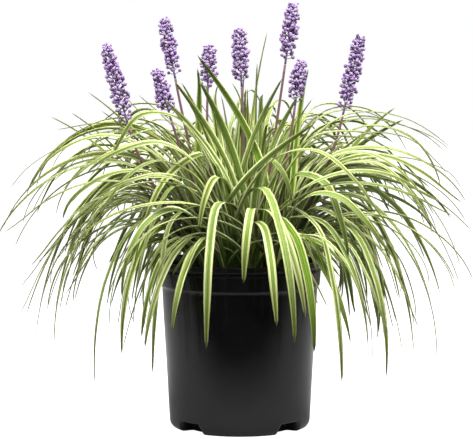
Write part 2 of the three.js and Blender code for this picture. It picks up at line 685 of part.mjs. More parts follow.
// A leaf that hangs as its age has it. Each further attempt strays more from its place's direction.
function freeLeaf(place, attempt, random) {
  const jitter = (size) => (random() - 0.5) * 2 * size;
  const age = THREE.MathUtils.clamp(place.age + jitter(0.006 * attempt), 0, 1);
  const size = 0.84 + 0.22 * random();
  const sway = place.age < UPRIGHT_AGE ? UPRIGHT_SWAY : FREE_SWAY;
  const turn = clearOfFront(place.turn + jitter(sway + 0.016 * attempt));
  const tip = levelDirection(turn).multiplyScalar(keyed(BY_AGE.tipDistance, age) * size);
  tip.add(new THREE.Vector3(CLUMP_CENTRE.x, CLUMP_CENTRE.y, SOIL_MIDDLE));
  tip.z += (keyed(BY_AGE.tipHeight, age) - SOIL_MIDDLE) * (age < 0.5 ? size : 1) + jitter(14);
  const inFront = Math.max(0, -Math.sin(turn)) ** 2;
  tip.z += FRONT_LIFT * inFront * Math.max(0, 2 * age - 1);
  const width = LEAF_WIDTH * (0.6 + 0.3 * random());
  const slim = tip.y > SLIM_BEHIND;
  if (age < UPRIGHT_AGE) return { ...place, tip, slim, width, roll: jitter(UPRIGHT_ROLL) };
  const crest = place.root.clone().lerp(tip, keyed(BY_AGE.crestShare, age) + jitter(0.08));
  const height = (keyed(BY_AGE.crestHeight, age) - SOIL_MIDDLE) * (0.82 + 0.34 * random());
  crest.z = Math.max(SOIL_MIDDLE + height, tip.z + 8);
  const hang = 0.2 + 0.5 * age + jitter(0.5);
  return { ...place, tip, crest, hang, slim, width, roll: jitter(FREE_ROLL) };
}

// Grows the first of a number of proposed leaves that has room. Returns it, or null if none has.
function settle(propose, attempts, obstacles) {
  for (let attempt = 0; attempt < attempts; attempt++) {
    const leaf = propose(attempt);
    const grown = grownLeaf(leaf, obstacles);
    if (grown) {
      obstacles.push(grown);
      leaf.shoot.leaves.push(grown);
      return leaf;
    }
  }
  return null;
}

// Every chosen leaf takes the best place that has room for it.
function growChosenLeaves(places, obstacles, random) {
  for (const chosen of CHOSEN_LEAVES) {
    places.sort((a, b) => mismatch(chosen, a) - mismatch(chosen, b));
    const propose = (attempt) =>
      chosenLeaf(places[attempt % CHOSEN_PLACES], chosen, attempt, random);
    const grown = settle(propose, CHOSEN_ATTEMPTS, obstacles);
    if (grown) places.splice(places.findIndex(({ root }) => root === grown.root), 1);
  }
}

// The places that are left grow a free leaf each where there is room, the oldest first.
function growFreeLeaves(places, obstacles, random) {
  places.sort((a, b) => b.age - a.age);
  for (const place of places)
    settle((attempt) => freeLeaf(place, attempt, random), FREE_ATTEMPTS, obstacles);
}

// ---------------------------------------------------------------- the plant

// The spikes, each with its stalk's foot moved to a free place in the soil.
function spikeList(shoots) {
  const spikes = [];
  for (const wanted of SPIKES) {
    const feet = spikes.map((spike) => spike.foot);
    spikes.push({ ...wanted, foot: freeFoot(wanted.foot, shoots, feet) });
  }
  return spikes;
}

// A ring round the pot's collar and lip, with some room to spare.
function rimGuard() {
  const inner = LIP.inner - RIM_ROOM.side;
  const outer = COLLAR_TOP.radius + RIM_ROOM.side;
  const top = LIP.top + RIM_ROOM.above;
  return turned([[inner, 0], [outer, 0], [outer, top], [inner, top], [inner, 0]], RIM_ROOM.sides);
}

// A bar round a spike's buds.
function spikeGuard({ neck, tip }) {
  const axis = new THREE.LineCurve3(new THREE.Vector3(...neck), new THREE.Vector3(...tip));
  return barGeometry(axis, [0, 1], WHORL.radius, 0.7 * WHORL.radius, 6);
}

// What every leaf stays clear of: the pot's rim, the stalks, the spikes and the crowns.
function fixedObstacles(shoots, spikes) {
  const stalks = spikes.map((spike) => {
    const boxes = stretchBoxes(stalkLine(spike).getSpacedPoints(6), 2 * STALK.footRadius);
    return { owner: null, solid: solidOf(stalkGeometry(spike)), boxes };
  });
  return [
    obstacleOf(rimGuard()),
    ...stalks,
    ...spikes.map((spike) => obstacleOf(spikeGuard(spike))),
    ...shoots.map((shoot) => obstacleOf(crownGeometry(shoot), shoot)),
  ];
}

// A shoot's crown and leaves as one solid.
function fanSolid(shoot) {
  const leaves = shoot.leaves.map(({ solid }) => solid);
  return wasm.Manifold.union([solidOf(crownGeometry(shoot)), ...leaves]);
}

function plantGroup() {
  const random = seededRandom(SEED);
  const shoots = shootList(random);
  const places = shoots.flatMap((shoot) => leafPlaces(shoot, random));
  const spikes = spikeList(shoots);
  const obstacles = fixedObstacles(shoots, spikes);
  growChosenLeaves(places, obstacles, random);
  growFreeLeaves(places, obstacles, random);
  const holes = [...shoots.map(crownHoleGeometry), ...spikes.map(stalkHoleGeometry)];
  const group = new THREE.Group();
  group.add(meshOf("pot", potSolid(), POT_PLASTIC));
  group.add(meshOf("potting_mix", soilSolid(holes), SOIL_MATERIAL));
  shoots.forEach((shoot, i) => {
    const number = String(i + 1).padStart(2, "0");
    group.add(meshOf(`leaf_fan_${number}`, fanSolid(shoot), LEAF_MATERIAL));
  });
  spikes.forEach((spike, i) => {
    const stalk = solidOf(stalkGeometry(spike));
    group.add(meshOf(`flower_stalk_${i + 1}`, stalk, STALK_MATERIAL));
    group.add(meshOf(`flower_spike_${i + 1}`, solidOf(spikeGeometry(spike)), BUD_MATERIAL));
  });
  return group;
}

export default plantGroup();
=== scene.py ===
# %% [markdown]
# # Variegated lilyturf in a nursery pot
#
# The plant is a clump of small shoots. Each shoot is a fan of long strap leaves that rise from a
# crown in the soil, arch over and hang. Between them stand bare stalks with spikes of lilac buds. A
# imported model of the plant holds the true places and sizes. This script reads them from there and
# dresses them: fine leaves, round buds, a moulded pot and crumbly soil.

import math

import bmesh
import bpy
import numpy as np
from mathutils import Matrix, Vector, noise


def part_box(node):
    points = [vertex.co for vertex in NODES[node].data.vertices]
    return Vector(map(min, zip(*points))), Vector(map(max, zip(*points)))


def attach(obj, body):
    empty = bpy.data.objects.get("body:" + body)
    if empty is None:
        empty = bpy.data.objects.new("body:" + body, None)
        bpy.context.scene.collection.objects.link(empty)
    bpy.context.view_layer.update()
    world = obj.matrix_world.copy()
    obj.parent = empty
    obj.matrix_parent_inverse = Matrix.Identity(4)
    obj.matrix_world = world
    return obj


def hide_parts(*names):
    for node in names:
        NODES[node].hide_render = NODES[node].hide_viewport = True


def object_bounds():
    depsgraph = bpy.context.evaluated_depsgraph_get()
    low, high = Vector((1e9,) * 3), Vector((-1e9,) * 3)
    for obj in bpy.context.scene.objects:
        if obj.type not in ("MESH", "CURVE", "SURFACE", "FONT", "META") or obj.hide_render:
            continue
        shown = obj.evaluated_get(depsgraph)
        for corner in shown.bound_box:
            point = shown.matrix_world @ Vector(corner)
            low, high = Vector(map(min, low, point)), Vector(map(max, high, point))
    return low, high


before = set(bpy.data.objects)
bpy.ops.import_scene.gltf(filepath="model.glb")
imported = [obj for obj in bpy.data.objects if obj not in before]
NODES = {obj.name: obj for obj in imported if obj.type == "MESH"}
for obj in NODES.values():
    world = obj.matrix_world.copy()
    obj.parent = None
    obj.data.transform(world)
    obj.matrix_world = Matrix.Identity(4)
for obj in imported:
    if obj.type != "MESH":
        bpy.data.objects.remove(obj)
CAD_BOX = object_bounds()
MM = 0.001
TURN = 2 * math.pi
rng = np.random.default_rng(1783)
print("nodes in the frame:", len(NODES))

# %% [markdown]
# ## Helpers for materials
#
# Colours are written as sRGB hex values, as a paint chart gives them. Blender's shaders work with
# linear light, so one function turns a hex value to linear. Another adds one shader node, with its
# settings and its links, so that a material reads from top to bottom like a recipe. Materials could
# also be drawn in the node editor, but then nobody could read them here.

# %% Colour and shader nodes
def linear(hex_colour):
    """An sRGB hex colour as the linear RGBA that a shader socket holds."""
    shares = [int(hex_colour[i:i + 2], 16) / 255 for i in (1, 3, 5)]
    return [s / 12.92 if s <= 0.04045 else ((s + 0.055) / 1.055) ** 2.4 for s in shares] + [1.0]


def add_node(tree, kind, settings=None, links=None):
    """Adds a shader node. Its settings and links are keyed by a property or a socket.

    A setting of a socket may be a hex colour, and "stops" are those of a colour ramp.
    """
    new = tree.nodes.new("ShaderNode" + kind)
    for name, value in (settings or {}).items():
        if name == "stops":
            stops = new.color_ramp.elements
            while len(stops) < len(value):
                stops.new(0.5)
            for stop, (place, colour) in zip(stops, value):
                stop.position = place
                stop.color = linear(colour)
        elif isinstance(name, str) and hasattr(new, name):
            setattr(new, name, value)
        else:
            is_colour = isinstance(value, str) and value.startswith("#")
            new.inputs[name].default_value = linear(value) if is_colour else value
    for name, source in (links or {}).items():
        tree.links.new(source, new.inputs[name])
    return new.outputs


def new_material(name, **surface):
    """An empty material and its node tree. The surface's plain values go to its shader."""
    material = bpy.data.materials.new(name)
    material.use_nodes = True
    tree = material.node_tree
    tree.nodes.clear()
    shader = tree.nodes.new("ShaderNodeBsdfPrincipled")
    for socket, value in surface.items():
        shader.inputs[socket.replace("_", " ")].default_value = value
    output = tree.nodes.new("ShaderNodeOutputMaterial")
    tree.links.new(shader.outputs[0], output.inputs["Surface"])
    return material, tree, shader


print("the hex grey #808080 is", round(linear("#808080")[0], 3), "in linear light")

# %% Numbers that a mesh holds for its materials
POINT_VALUES = ("across", "along", "tone", "under")


def point_values(tree, *names):
    """Numbers that the mesh holds for every point, as values for a shader."""
    return [add_node(tree, "Attribute", {"attribute_name": name})["Fac"] for name in names]


def sum_of(tree, first, first_share, second, second_share, offset=0.0):
    """first * first_share + second * second_share + offset, for two shader values."""
    start = add_node(
        tree, "Math", {"operation": "MULTIPLY_ADD", 1: first_share, 2: offset}, {0: first})[0]
    return add_node(
        tree, "Math", {"operation": "MULTIPLY_ADD", 1: second_share}, {0: second, 2: start})[0]


print("numbers for every point:", *POINT_VALUES)

# %% [markdown]
# ## The leaf material
#
# A liriope leaf is living tissue under a thin waxy skin, so it is satin, not glossy, and a little
# light passes into it. Its middle is green. Its margins hold no green and are cream to yellow, and
# each leaf has its own share of them. Fine lines run along it, because the veins of such a leaf are
# parallel. A young leaf is a yellower green. With age a grey-green bloom of wax grows over it. Its
# foot, deep in the clump, is painted a dark green as painted shade. Its last third is painted a
# darker grey-green up to the tip, as painted shade on the tips that hang edge-on.
#
# A striped image could be laid along each leaf. Here the colours are worked out instead from four
# numbers that the mesh holds for every point: how far across the leaf it is, how far along, the
# leaf's own tone, and whether it is on the underside. So the stripes follow every bend, stay sharp
# at any distance, and differ from leaf to leaf.

# %% Leaf tissue
LEAF_IOR = 1.42  # plant wax
STRIPES_ACROSS = 6.5  # broad stripes over a half width of about 4.5 mm
FINE_ACROSS = 17.0  # and fine ones
RIBS_ACROSS = 40.0  # radians of ripple over a half width, for veins 0.7 mm apart
VEIN_HEIGHT = 0.15 * MM
LEAF_DEPTH = 2 * MM  # how far light strays inside the leaf
OWN_STRIPES, OWN_LINES = 91.0, 53.0  # how far apart two leaves' patterns are, for each unit of tone


def leaf_stripes(tree, across, along, tone, count, apart, detail):
    """Noise that changes fast across a leaf and slowly along it, and differs from leaf to leaf."""
    x = sum_of(tree, across, count, tone, apart)
    place = add_node(tree, "CombineXYZ", {}, {"X": x, "Y": along, "Z": tone})[0]
    return add_node(tree, "TexNoise", {"Scale": 1.0, **detail}, {"Vector": place})[0]


def make_leaf_tissue():
    material, tree, shader = new_material(
        "variegated_leaf_tissue", IOR=LEAF_IOR, Specular_IOR_Level=0.35, Subsurface_Weight=0.15,
        Subsurface_Scale=LEAF_DEPTH, Subsurface_Radius=(0.7, 1.0, 0.35))
    across, along, tone, under = point_values(tree, *POINT_VALUES)
    stripes = leaf_stripes(
        tree, across, along, tone, STRIPES_ACROSS, OWN_STRIPES, {"Detail": 3.0, "Roughness": 0.7})
    # The green middle, dark to light with the stripes, and the bloom over it in old leaves.
    green = add_node(
        tree, "ValToRGB",
        {"stops": [(0.3, "#284304"), (0.44, "#46660c"), (0.56, "#6d8d29"), (0.72, "#a3b664")]},
        {"Fac": stripes})[0]
    bloom = add_node(
        tree, "MapRange", {"From Min": 0.3, "From Max": 0.75, "To Max": 0.42}, {"Value": tone})[0]
    green = add_node(
        tree, "Mix", {"data_type": "RGBA", 7: "#87966a"}, {0: bloom, 6: green})[2]
    cream = add_node(
        tree, "ValToRGB",
        {"stops": [(0.3, "#b6c058"), (0.46, "#d5d893"), (0.66, "#e2e4b8")]}, {"Fac": stripes})[0]
    # The margin begins at a share of the half width that differs from leaf to leaf and from stripe
    # to stripe. Fine pale lines run in the green too.
    edge = add_node(tree, "Math", {"operation": "ABSOLUTE"}, {0: across})[0]
    own = add_node(tree, "TexWhiteNoise", {"noise_dimensions": "1D"}, {"W": tone})[0]
    wandering = sum_of(tree, edge, 1.0, stripes, 0.5, -0.25)
    placed = sum_of(tree, wandering, 1.0, own, 0.4, -0.16)
    margin = add_node(
        tree, "MapRange", {"interpolation_type": "SMOOTHSTEP", "From Min": 0.54, "From Max": 0.65},
        {"Value": placed})[0]
    fine = leaf_stripes(tree, across, along, tone, FINE_ACROSS, OWN_LINES, {"Detail": 1.0})
    lines = add_node(
        tree, "MapRange", {"From Min": 0.54, "From Max": 0.68, "To Max": 0.5}, {"Value": fine})[0]
    both = add_node(tree, "Math", {"operation": "MAXIMUM"}, {0: margin, 1: lines})[0]
    face = add_node(tree, "Mix", {"data_type": "RGBA"}, {0: both, 6: green, 7: cream})[2]
    # Young leaves are a yellower green all over, the oldest ones duller.
    tint = add_node(
        tree, "ValToRGB",
        {"stops": [(0.0, "#cfe07c"), (0.35, "#ffffff"), (0.8, "#ffffff"), (1.0, "#ece0b0")]},
        {"Fac": tone})[0]
    tinted = add_node(
        tree, "Mix", {"data_type": "RGBA", "blend_type": "MULTIPLY", 0: 0.55},
        {6: face, 7: tint})[2]
    # Painted shade along the leaf: its foot, deep in the clump, is painted a dark green. Its last
    # third is painted a darker grey-green up to the tip, for the shade on tips that hang edge-on.
    by_length = add_node(
        tree, "ValToRGB",
        {"stops": [(0.0, "#182206"), (0.16, "#364810"), (0.46, "#ffffff"), (0.66, "#ffffff"),
                   (0.87, "#a0a38a"), (1.0, "#66684f")]},
        {"Fac": along})[0]
    with_painted_shade = add_node(
        tree, "Mix", {"data_type": "RGBA", "blend_type": "MULTIPLY", 0: 1.0},
        {6: tinted, 7: by_length})[2]
    # The underside has a thicker bloom, so it is greyer.
    below = add_node(tree, "Math", {"operation": "MULTIPLY", 1: 0.25}, {0: under})[0]
    colour = add_node(tree, "Mix", {"data_type": "RGBA", 7: "#6a7f45"}, {0: below, 6: with_painted_shade})[2]
    tree.links.new(colour, shader.inputs["Base Color"])
    rough = add_node(tree, "MapRange", {"To Min": 0.4, "To Max": 0.6}, {"Value": stripes})[0]
    tree.links.new(rough, shader.inputs["Roughness"])
    # Raised veins, as a ripple across the leaf.
    phase = add_node(tree, "Math", {"operation": "MULTIPLY", 1: RIBS_ACROSS}, {0: across})[0]
    ripple = add_node(tree, "Math", {"operation": "SINE"}, {0: phase})[0]
    bump = add_node(
        tree, "Bump", {"Strength": 0.25, "Distance": VEIN_HEIGHT}, {"Height": ripple})[0]
    tree.links.new(bump, shader.inputs["Normal"])
    return material


LEAF_TISSUE = make_leaf_tissue()
print("made", LEAF_TISSUE.name)

# %% [markdown]
# ## Bud, stalk and soil materials
#
# The buds are soft petals, closed to a bead and matt, and the lower buds are a deeper dull purple.
# Along each bud the colour is painted from a deeper purple at its foot to paler at its tip, as
# painted shade where the buds crowd. The bud stems and the spike's axis take that deep purple:
# partly their own colour, partly painted shade between the buds. Light passes a little way into
# them, so they look soft, not painted. The stalks are smooth and purple-brown, and olive near the
# soil, with faint streaks.
# Potting mix is composted bark and peat: dark, rough and uneven. Each of the three is one ramp of
# colours, read at a place that the mesh's own numbers and a noise give.

# %% Bud, stalk and soil
PETAL_DEPTH = 1.5 * MM  # how far light strays inside a bud
CRUMBS_PER_METRE = 260.0  # a dark or a pale place every 4 mm
CRUMB_HEIGHT = 0.8 * MM


def make_bud_petal():
    material, tree, shader = new_material(
        "lilac_bud_petal", IOR=1.4, Roughness=0.7, Specular_IOR_Level=0.1, Subsurface_Weight=0.3,
        Subsurface_Scale=PETAL_DEPTH, Subsurface_Radius=(0.8, 0.5, 1.0), Sheen_Weight=0.05)
    height, tone = point_values(tree, "along", "tone")
    # Darker at each bud's foot and paler at its tip: painted shade where the buds crowd. The tone
    # makes the lower buds a deeper purple.
    shade = sum_of(tree, height, 0.62, tone, 0.4)
    colour = add_node(
        tree, "ValToRGB",
        {"stops": [(0.0, "#755e8a"), (0.35, "#8a729c"), (0.65, "#9880a8"), (0.95, "#a68eb2")]},
        {"Fac": shade})[0]
    tree.links.new(colour, shader.inputs["Base Color"])
    return material


def make_stalk_skin():
    material, tree, shader = new_material("flower_stalk_skin", IOR=1.42, Roughness=0.45)
    across, height, tone = point_values(tree, "across", "along", "tone")
    place = add_node(tree, "CombineXYZ", {}, {"X": across, "Y": height, "Z": tone})[0]
    streaks = add_node(tree, "TexNoise", {"Scale": 5.0, "Detail": 4.0}, {"Vector": place})[0]
    shade = sum_of(tree, height, 0.8, streaks, 0.4, -0.1)
    colour = add_node(
        tree, "ValToRGB",
        {"stops": [(0.0, "#6e6a38"), (0.35, "#75604a"), (0.65, "#6d5250"), (1.0, "#694b5c")]},
        {"Fac": shade})[0]
    tree.links.new(colour, shader.inputs["Base Color"])
    return material


def make_potting_mix():
    material, tree, shader = new_material("bark_and_peat_mix", Roughness=0.95)
    crumbs = add_node(
        tree, "TexNoise", {"Scale": CRUMBS_PER_METRE, "Detail": 8.0, "Roughness": 0.7})[0]
    [tone] = point_values(tree, "tone")
    shade = sum_of(tree, crumbs, 0.7, tone, 0.5, -0.1)
    colour = add_node(
        tree, "ValToRGB",
        {"stops": [(0.2, "#17100b"), (0.5, "#34241a"), (0.75, "#5b4330"), (0.95, "#85684b")]},
        {"Fac": shade})[0]
    tree.links.new(colour, shader.inputs["Base Color"])
    bump = add_node(
        tree, "Bump", {"Strength": 0.8, "Distance": CRUMB_HEIGHT}, {"Height": crumbs})[0]
    tree.links.new(bump, shader.inputs["Normal"])
    return material


BUD_PETAL = make_bud_petal()
STALK_SKIN = make_stalk_skin()
POTTING_MIX = make_potting_mix()
print("made", BUD_PETAL.name, STALK_SKIN.name, POTTING_MIX.name)

# %% [markdown]
# ## The pot material
#
# A nursery pot is injection-moulded polypropylene, black right through with soot. The mould gives
# it a satin face with a very fine grain, so that reflections are wide and soft. Handling leaves
# faint dull patches. Black plastic has nearly no colour of its own to show: what the eye reads is
# its gloss, so the roughness changes with the patches and the colour hardly does.

# %% Moulded polypropylene
GRAIN_SPACING = 0.9 * MM  # coarser than the true grain, so that it shows
GRAIN_HEIGHT = 0.2 * MM
PATCHES_PER_METRE = 28.0  # worn patches about two fingers wide


def make_moulded_plastic():
    material, tree, shader = new_material(
        "black_moulded_polypropylene", IOR=1.49, Specular_IOR_Level=0.32)
    place = add_node(tree, "TexCoord")["Object"]
    grain = add_node(
        tree, "TexNoise", {"Scale": 1 / GRAIN_SPACING, "Detail": 2.0}, {"Vector": place})[0]
    patches = add_node(
        tree, "TexNoise", {"Scale": PATCHES_PER_METRE, "Detail": 5.0, "Roughness": 0.6},
        {"Vector": place})[0]
    colour = add_node(
        tree, "ValToRGB", {"stops": [(0.3, "#060607"), (0.7, "#0e0e0f")]}, {"Fac": patches})[0]
    tree.links.new(colour, shader.inputs["Base Color"])
    rough = add_node(tree, "MapRange", {"To Min": 0.13, "To Max": 0.22}, {"Value": patches})[0]
    tree.links.new(rough, shader.inputs["Roughness"])
    bump = add_node(
        tree, "Bump", {"Strength": 0.12, "Distance": GRAIN_HEIGHT}, {"Height": grain})[0]
    tree.links.new(bump, shader.inputs["Normal"])
    return material


POT_PLASTIC = make_moulded_plastic()
print("made", POT_PLASTIC.name)

# %% [markdown]
# ## Reading the plant from the frame
#
# The frame's solids are coarse but true: a leaf there is a chain of three-cornered rings from its
# root to its tip. To follow a leaf, the script finds its tip, which is the only kind of corner that
# has just three neighbours, all joined to one another. From there it walks down ring by ring. The
# places could be written out as a list of numbers here, but then the two could drift apart.

# %% Corners of a node and their neighbours
RING_COUNT = 6  # rings between a leaf's tip and its crown
SAME_PLACE = 1e-6  # corners closer than this are one corner, in metres


def corners_of(name):
    """A node's corners without copies, and for each the set of its neighbours along an edge."""
    mesh = NODES[name].data
    number, corners, own = {}, [], []
    for vertex in mesh.vertices:
        key = tuple(round(c / SAME_PLACE) for c in vertex.co)
        if key not in number:
            number[key] = len(corners)
            corners.append(np.array(vertex.co))
        own.append(number[key])
    neighbours = [set() for _ in corners]
    for polygon in mesh.polygons:
        ring = [own[i] for i in polygon.vertices]
        for a, b in zip(ring, ring[1:] + ring[:1]):
            neighbours[a].add(b)
            neighbours[b].add(a)
    return np.array(corners), neighbours


def rings_below(tip, neighbours):
    """The rings of three corners below a tip, the highest first, or None if there are none."""
    ring = neighbours[tip]
    if len(ring) != 3 or any(len(neighbours[corner] & ring) != 2 for corner in ring):
        return None
    rings, passed = [ring], {tip} | ring
    for _ in range(RING_COUNT - 1):
        ring = set().union(*(neighbours[corner] for corner in ring)) - passed
        if len(ring) != 3:
            return None
        rings.append(ring)
        passed |= ring
    return rings


def ring_frame(corners):
    """A ring's middle, the direction out of its upper face and its half width.

    The two far corners are the leaf's edges and the third is its keel.
    """
    pairs = [(0, 1, 2), (1, 2, 0), (2, 0, 1)]
    left, right, keel = max(pairs, key=lambda p: np.linalg.norm(corners[p[0]] - corners[p[1]]))
    middle = (corners[left] + corners[right]) / 2
    upper = middle - corners[keel]
    half = np.linalg.norm(corners[left] - corners[right]) / 2
    return middle, upper / np.linalg.norm(upper), half


def read_leaves(name):
    """Every leaf of a fan, foot to tip: rows of middles, upper directions and half widths."""
    corners, neighbours = corners_of(name)
    leaves = []
    for tip in range(len(corners)):
        rings = rings_below(tip, neighbours)
        if rings is None:
            continue
        frames = [ring_frame(corners[sorted(ring)]) for ring in reversed(rings)]
        middles = [row[0] for row in frames] + [corners[tip]]
        uppers = [row[1] for row in frames] + [frames[-1][1]]
        halves = [row[2] for row in frames] + [0.0]
        leaves.append((np.array(middles), np.array(uppers), np.array(halves)))
    return leaves


FAN_NAMES = sorted(name for name in NODES if name.startswith("leaf_fan"))
FANS = {name: read_leaves(name) for name in FAN_NAMES}
print("leaves read:", sum(len(leaves) for leaves in FANS.values()), "in", len(FANS), "fans")

# %% [markdown]
# ## Reading the stalks
#
# A stalk in the frame is a five-sided bar with a ring at each bend, and the rings lie well apart in
# height. So its corners, sorted by height and taken five at a time, give its middle line. The lines
# are read before the leaves are made, because the leaves keep clear of them.

# %% Lines of the stalks
FRAME_STALK_SIDES = 5


def stalk_line(name):
    """The middles of a stalk's rings, the lowest first."""
    corners, _ = corners_of(name)
    corners = corners[np.argsort(corners[:, 2])]
    return corners.reshape(-1, FRAME_STALK_SIDES, 3).mean(1)


STALK_NAMES = sorted(name for name in NODES if name.startswith("flower_stalk"))
STALK_LINES = {name: stalk_line(name) for name in STALK_NAMES}
print("stalks read:", len(STALK_LINES))

# %% [markdown]
# ## Joining parts into one piece
#
# A fan has dozens of leaves and a spike more than a hundred buds. Each is built as a part: its
# points, its faces, a place in the bake image for every face corner, and the numbers that the
# material reads. Then all the parts of a piece are joined into one mesh. Hundreds of single objects
# would do too, but a real shoot grew as one, and one mesh for each keeps the scene small.

# %% Parts to a piece
def joined_piece(name, parts, material):
    """One smooth object from parts. Each part has points, faces, places and a dict of values."""
    points, faces, places = [], [], []
    values = {key: [] for key in POINT_VALUES}
    for part in parts:
        first = sum(len(block) for block in points)
        count = len(part["points"])
        points.append(np.asarray(part["points"]))
        faces += [tuple(first + i for i in face) for face in part["faces"]]
        places += [place for face in part["places"] for place in face]
        for key in POINT_VALUES:
            values[key].append(np.broadcast_to(part["values"].get(key, 0.0), count))
    mesh = bpy.data.meshes.new(name)
    mesh.from_pydata(np.concatenate(points).tolist(), [], faces)
    for key, blocks in values.items():
        attribute = mesh.attributes.new(key, "FLOAT", "POINT")
        attribute.data.foreach_set("value", np.concatenate(blocks).astype(np.float32))
    layer = mesh.uv_layers.new(name="OFBake")
    layer.data.foreach_set("uv", np.array(places, np.float32).ravel())
    mesh.polygons.foreach_set("use_smooth", [True] * len(mesh.polygons))
    mesh.materials.append(material)
    mesh.update()
    piece = bpy.data.objects.new(name, mesh)
    bpy.context.scene.collection.objects.link(piece)
    return piece


print("a part of a piece has points, faces, places and", len(POINT_VALUES), "values")

# %% Skins over rings
CELL_MARGIN = (0.03, 0.01)  # kept free at both sides and ends of a part's place in the bake image


def tube_part(rings, values, cell, closed_tip=None):
    """A skin over rings of points, with a cap at the foot and a cap or a point at the end.

    cell is the part's own rectangle in the bake image: left, bottom, width and height.
    """
    rings = np.asarray(rings)
    count, sides = rings.shape[:2]
    left, bottom, width, height = cell
    points = rings.reshape(-1, 3)

    def spot(i, k):
        return left + width * k / sides, bottom + height * i / count

    faces, places = [], []
    for i in range(count - 1):
        for k in range(sides):
            n = (k + 1) % sides
            faces.append((i * sides + k, i * sides + n, (i + 1) * sides + n, (i + 1) * sides + k))
            places.append([spot(i, k), spot(i, k + 1), spot(i + 1, k + 1), spot(i + 1, k)])
    faces.append(tuple(reversed(range(sides))))
    places.append([spot(0, k) for k in reversed(range(sides))])
    last = (count - 1) * sides
    if closed_tip is None:
        faces.append(tuple(last + k for k in range(sides)))
        places.append([spot(count - 1, k) for k in range(sides)])
    else:
        points = np.vstack([points, closed_tip])
        for k in range(sides):
            faces.append((last + k, last + (k + 1) % sides, count * sides))
            places.append([spot(count - 1, k), spot(count - 1, k + 1), spot(count, k + 0.5)])
        values = {key: np.append(value, value[-1]) if np.ndim(value) else value
                  for key, value in values.items()}
    return {"points": points, "faces": faces, "places": places, "values": values}


def cells(count, columns):
    """The bake image divided into equal rectangles with a small margin round each."""
    rows = math.ceil(count / columns)
    side, end = CELL_MARGIN
    for i in range(count):
        left, bottom = (i % columns + side) / columns, (i // columns + end) / rows
        yield left, bottom, (1 - 2 * side) / columns, (1 - 2 * end) / rows


print("cells for 10 parts in 4 columns:", len(list(cells(10, 4))))

# %% [markdown]
# ## The leaves
#
# A real blade is under a millimetre thick, a little hollow along its upper face, with a round keel
# under it and thin edges. Broad leaves keep their width almost to the end and close to a blunt
# point, and slender ones narrow over their far half. Each also turns a little about its own line,
# so that one leaf shows its face and the next its edge.
#
# A subdivision modifier on the frame's leaf would round it, but also shrink it and blunt its tip.
# So each one is built anew on the rings that were read: a smooth curve runs through their middles,
# and at every station a small eight-sided section is set square to it. The bends are then as fine
# as the real ones, at the places that the frame gives.

# %% Smooth curves through the rings
def smoothed(stations, values, wanted):
    """Values at the wanted stations on a smooth curve through the given ones."""
    stations, values = np.asarray(stations), np.asarray(values, float)
    step = np.diff(stations)
    slope = np.diff(values, axis=0) / step.reshape(-1, *[1] * (values.ndim - 1))
    weight = (step[1:] / (step[1:] + step[:-1])).reshape(-1, *[1] * (values.ndim - 1))
    inner = slope[:-1] * weight + slope[1:] * (1 - weight)
    tangents = np.concatenate([2 * slope[:1] - inner[:1], inner, 2 * slope[-1:] - inner[-1:]])
    i = np.clip(np.searchsorted(stations, wanted, side="right") - 1, 0, len(step) - 1)
    t = ((wanted - stations[i]) / step[i]).reshape(-1, *[1] * (values.ndim - 1))
    gap = step[i].reshape(t.shape)
    return ((2 * t**3 - 3 * t**2 + 1) * values[i] + (t**3 - 2 * t**2 + t) * gap * tangents[i]
            + (3 * t**2 - 2 * t**3) * values[i + 1] + (t**3 - t**2) * gap * tangents[i + 1])


def unit(rows):
    return rows / np.linalg.norm(rows, axis=-1, keepdims=True)


def stations_of(middles):
    """How far along their line each of the middles lies."""
    return np.append(0, np.cumsum(np.linalg.norm(np.diff(middles, axis=0), axis=1)))


def smooth_step(share):
    """0 below 0, 1 above 1 and a smooth rise between them."""
    share = np.clip(share, 0, 1)
    return share * share * (3 - 2 * share)


print("a smooth rise:", *smooth_step(np.linspace(0, 1, 5)).round(2))

# %% The section and the stations of a blade
SOIL_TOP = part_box("potting_mix")[1].z
BLADE_STATIONS = 30
TIP_CROWDING = 0.06  # how far the stations move towards the tip, as a share of the length
BLADE_FOOT = 6 * MM  # how far a leaf's foot goes down into the soil
FOOT_LEAN = 0.35  # how far it leans there, as a share of its drop
FOOT_WIDTH = 0.9  # its width there, as a share of the lowest ring's
BLADE_SPINE = 0.75 * MM  # thickness over the keel
BLADE_EDGE = 0.3 * MM
BLADE_DISH = 0.55 * MM  # how far the upper face's middle lies below its edges
DISH_ROUND = 1.6  # how flat that hollow is in the middle
BLADE_SECTION = [(-1, 0), (-0.55, 1), (0, 1), (0.55, 1), (1, 0), (0.55, -1), (0, -1), (-0.55, -1)]
SPLIT = np.array([u for u, _ in BLADE_SECTION])
FACING = np.array([side for _, side in BLADE_SECTION])


def with_foot(middles, uppers, halves):
    """The rows of a leaf with one more at its foot, in the soil below its first stretch."""
    lean = unit(middles[0] - middles[1])
    drop = middles[0][2] - (SOIL_TOP - BLADE_FOOT)
    foot = middles[0] + drop * np.array([FOOT_LEAN * lean[0], FOOT_LEAN * lean[1], -1])
    middles, uppers = np.vstack([foot, middles]), np.vstack([uppers[:1], uppers])
    return middles, uppers, np.append(halves[0] * FOOT_WIDTH, halves)


def blade_stations(length):
    """Stations along a blade, closer together towards the tip, where it narrows."""
    even = np.linspace(0, 1, BLADE_STATIONS)
    return np.minimum(length * (even + TIP_CROWDING * np.sin(math.pi * even)), length)


def section_heights():
    """How high each corner of the section lies over the line through its edges."""
    dish = -BLADE_DISH * (1 - np.abs(SPLIT) ** DISH_ROUND)
    thick = BLADE_EDGE + (BLADE_SPINE - BLADE_EDGE) * (1 - np.abs(SPLIT))
    return np.where(FACING < 0, dish - thick, dish)


print("section heights in mm:", *(section_heights() / MM).round(2))

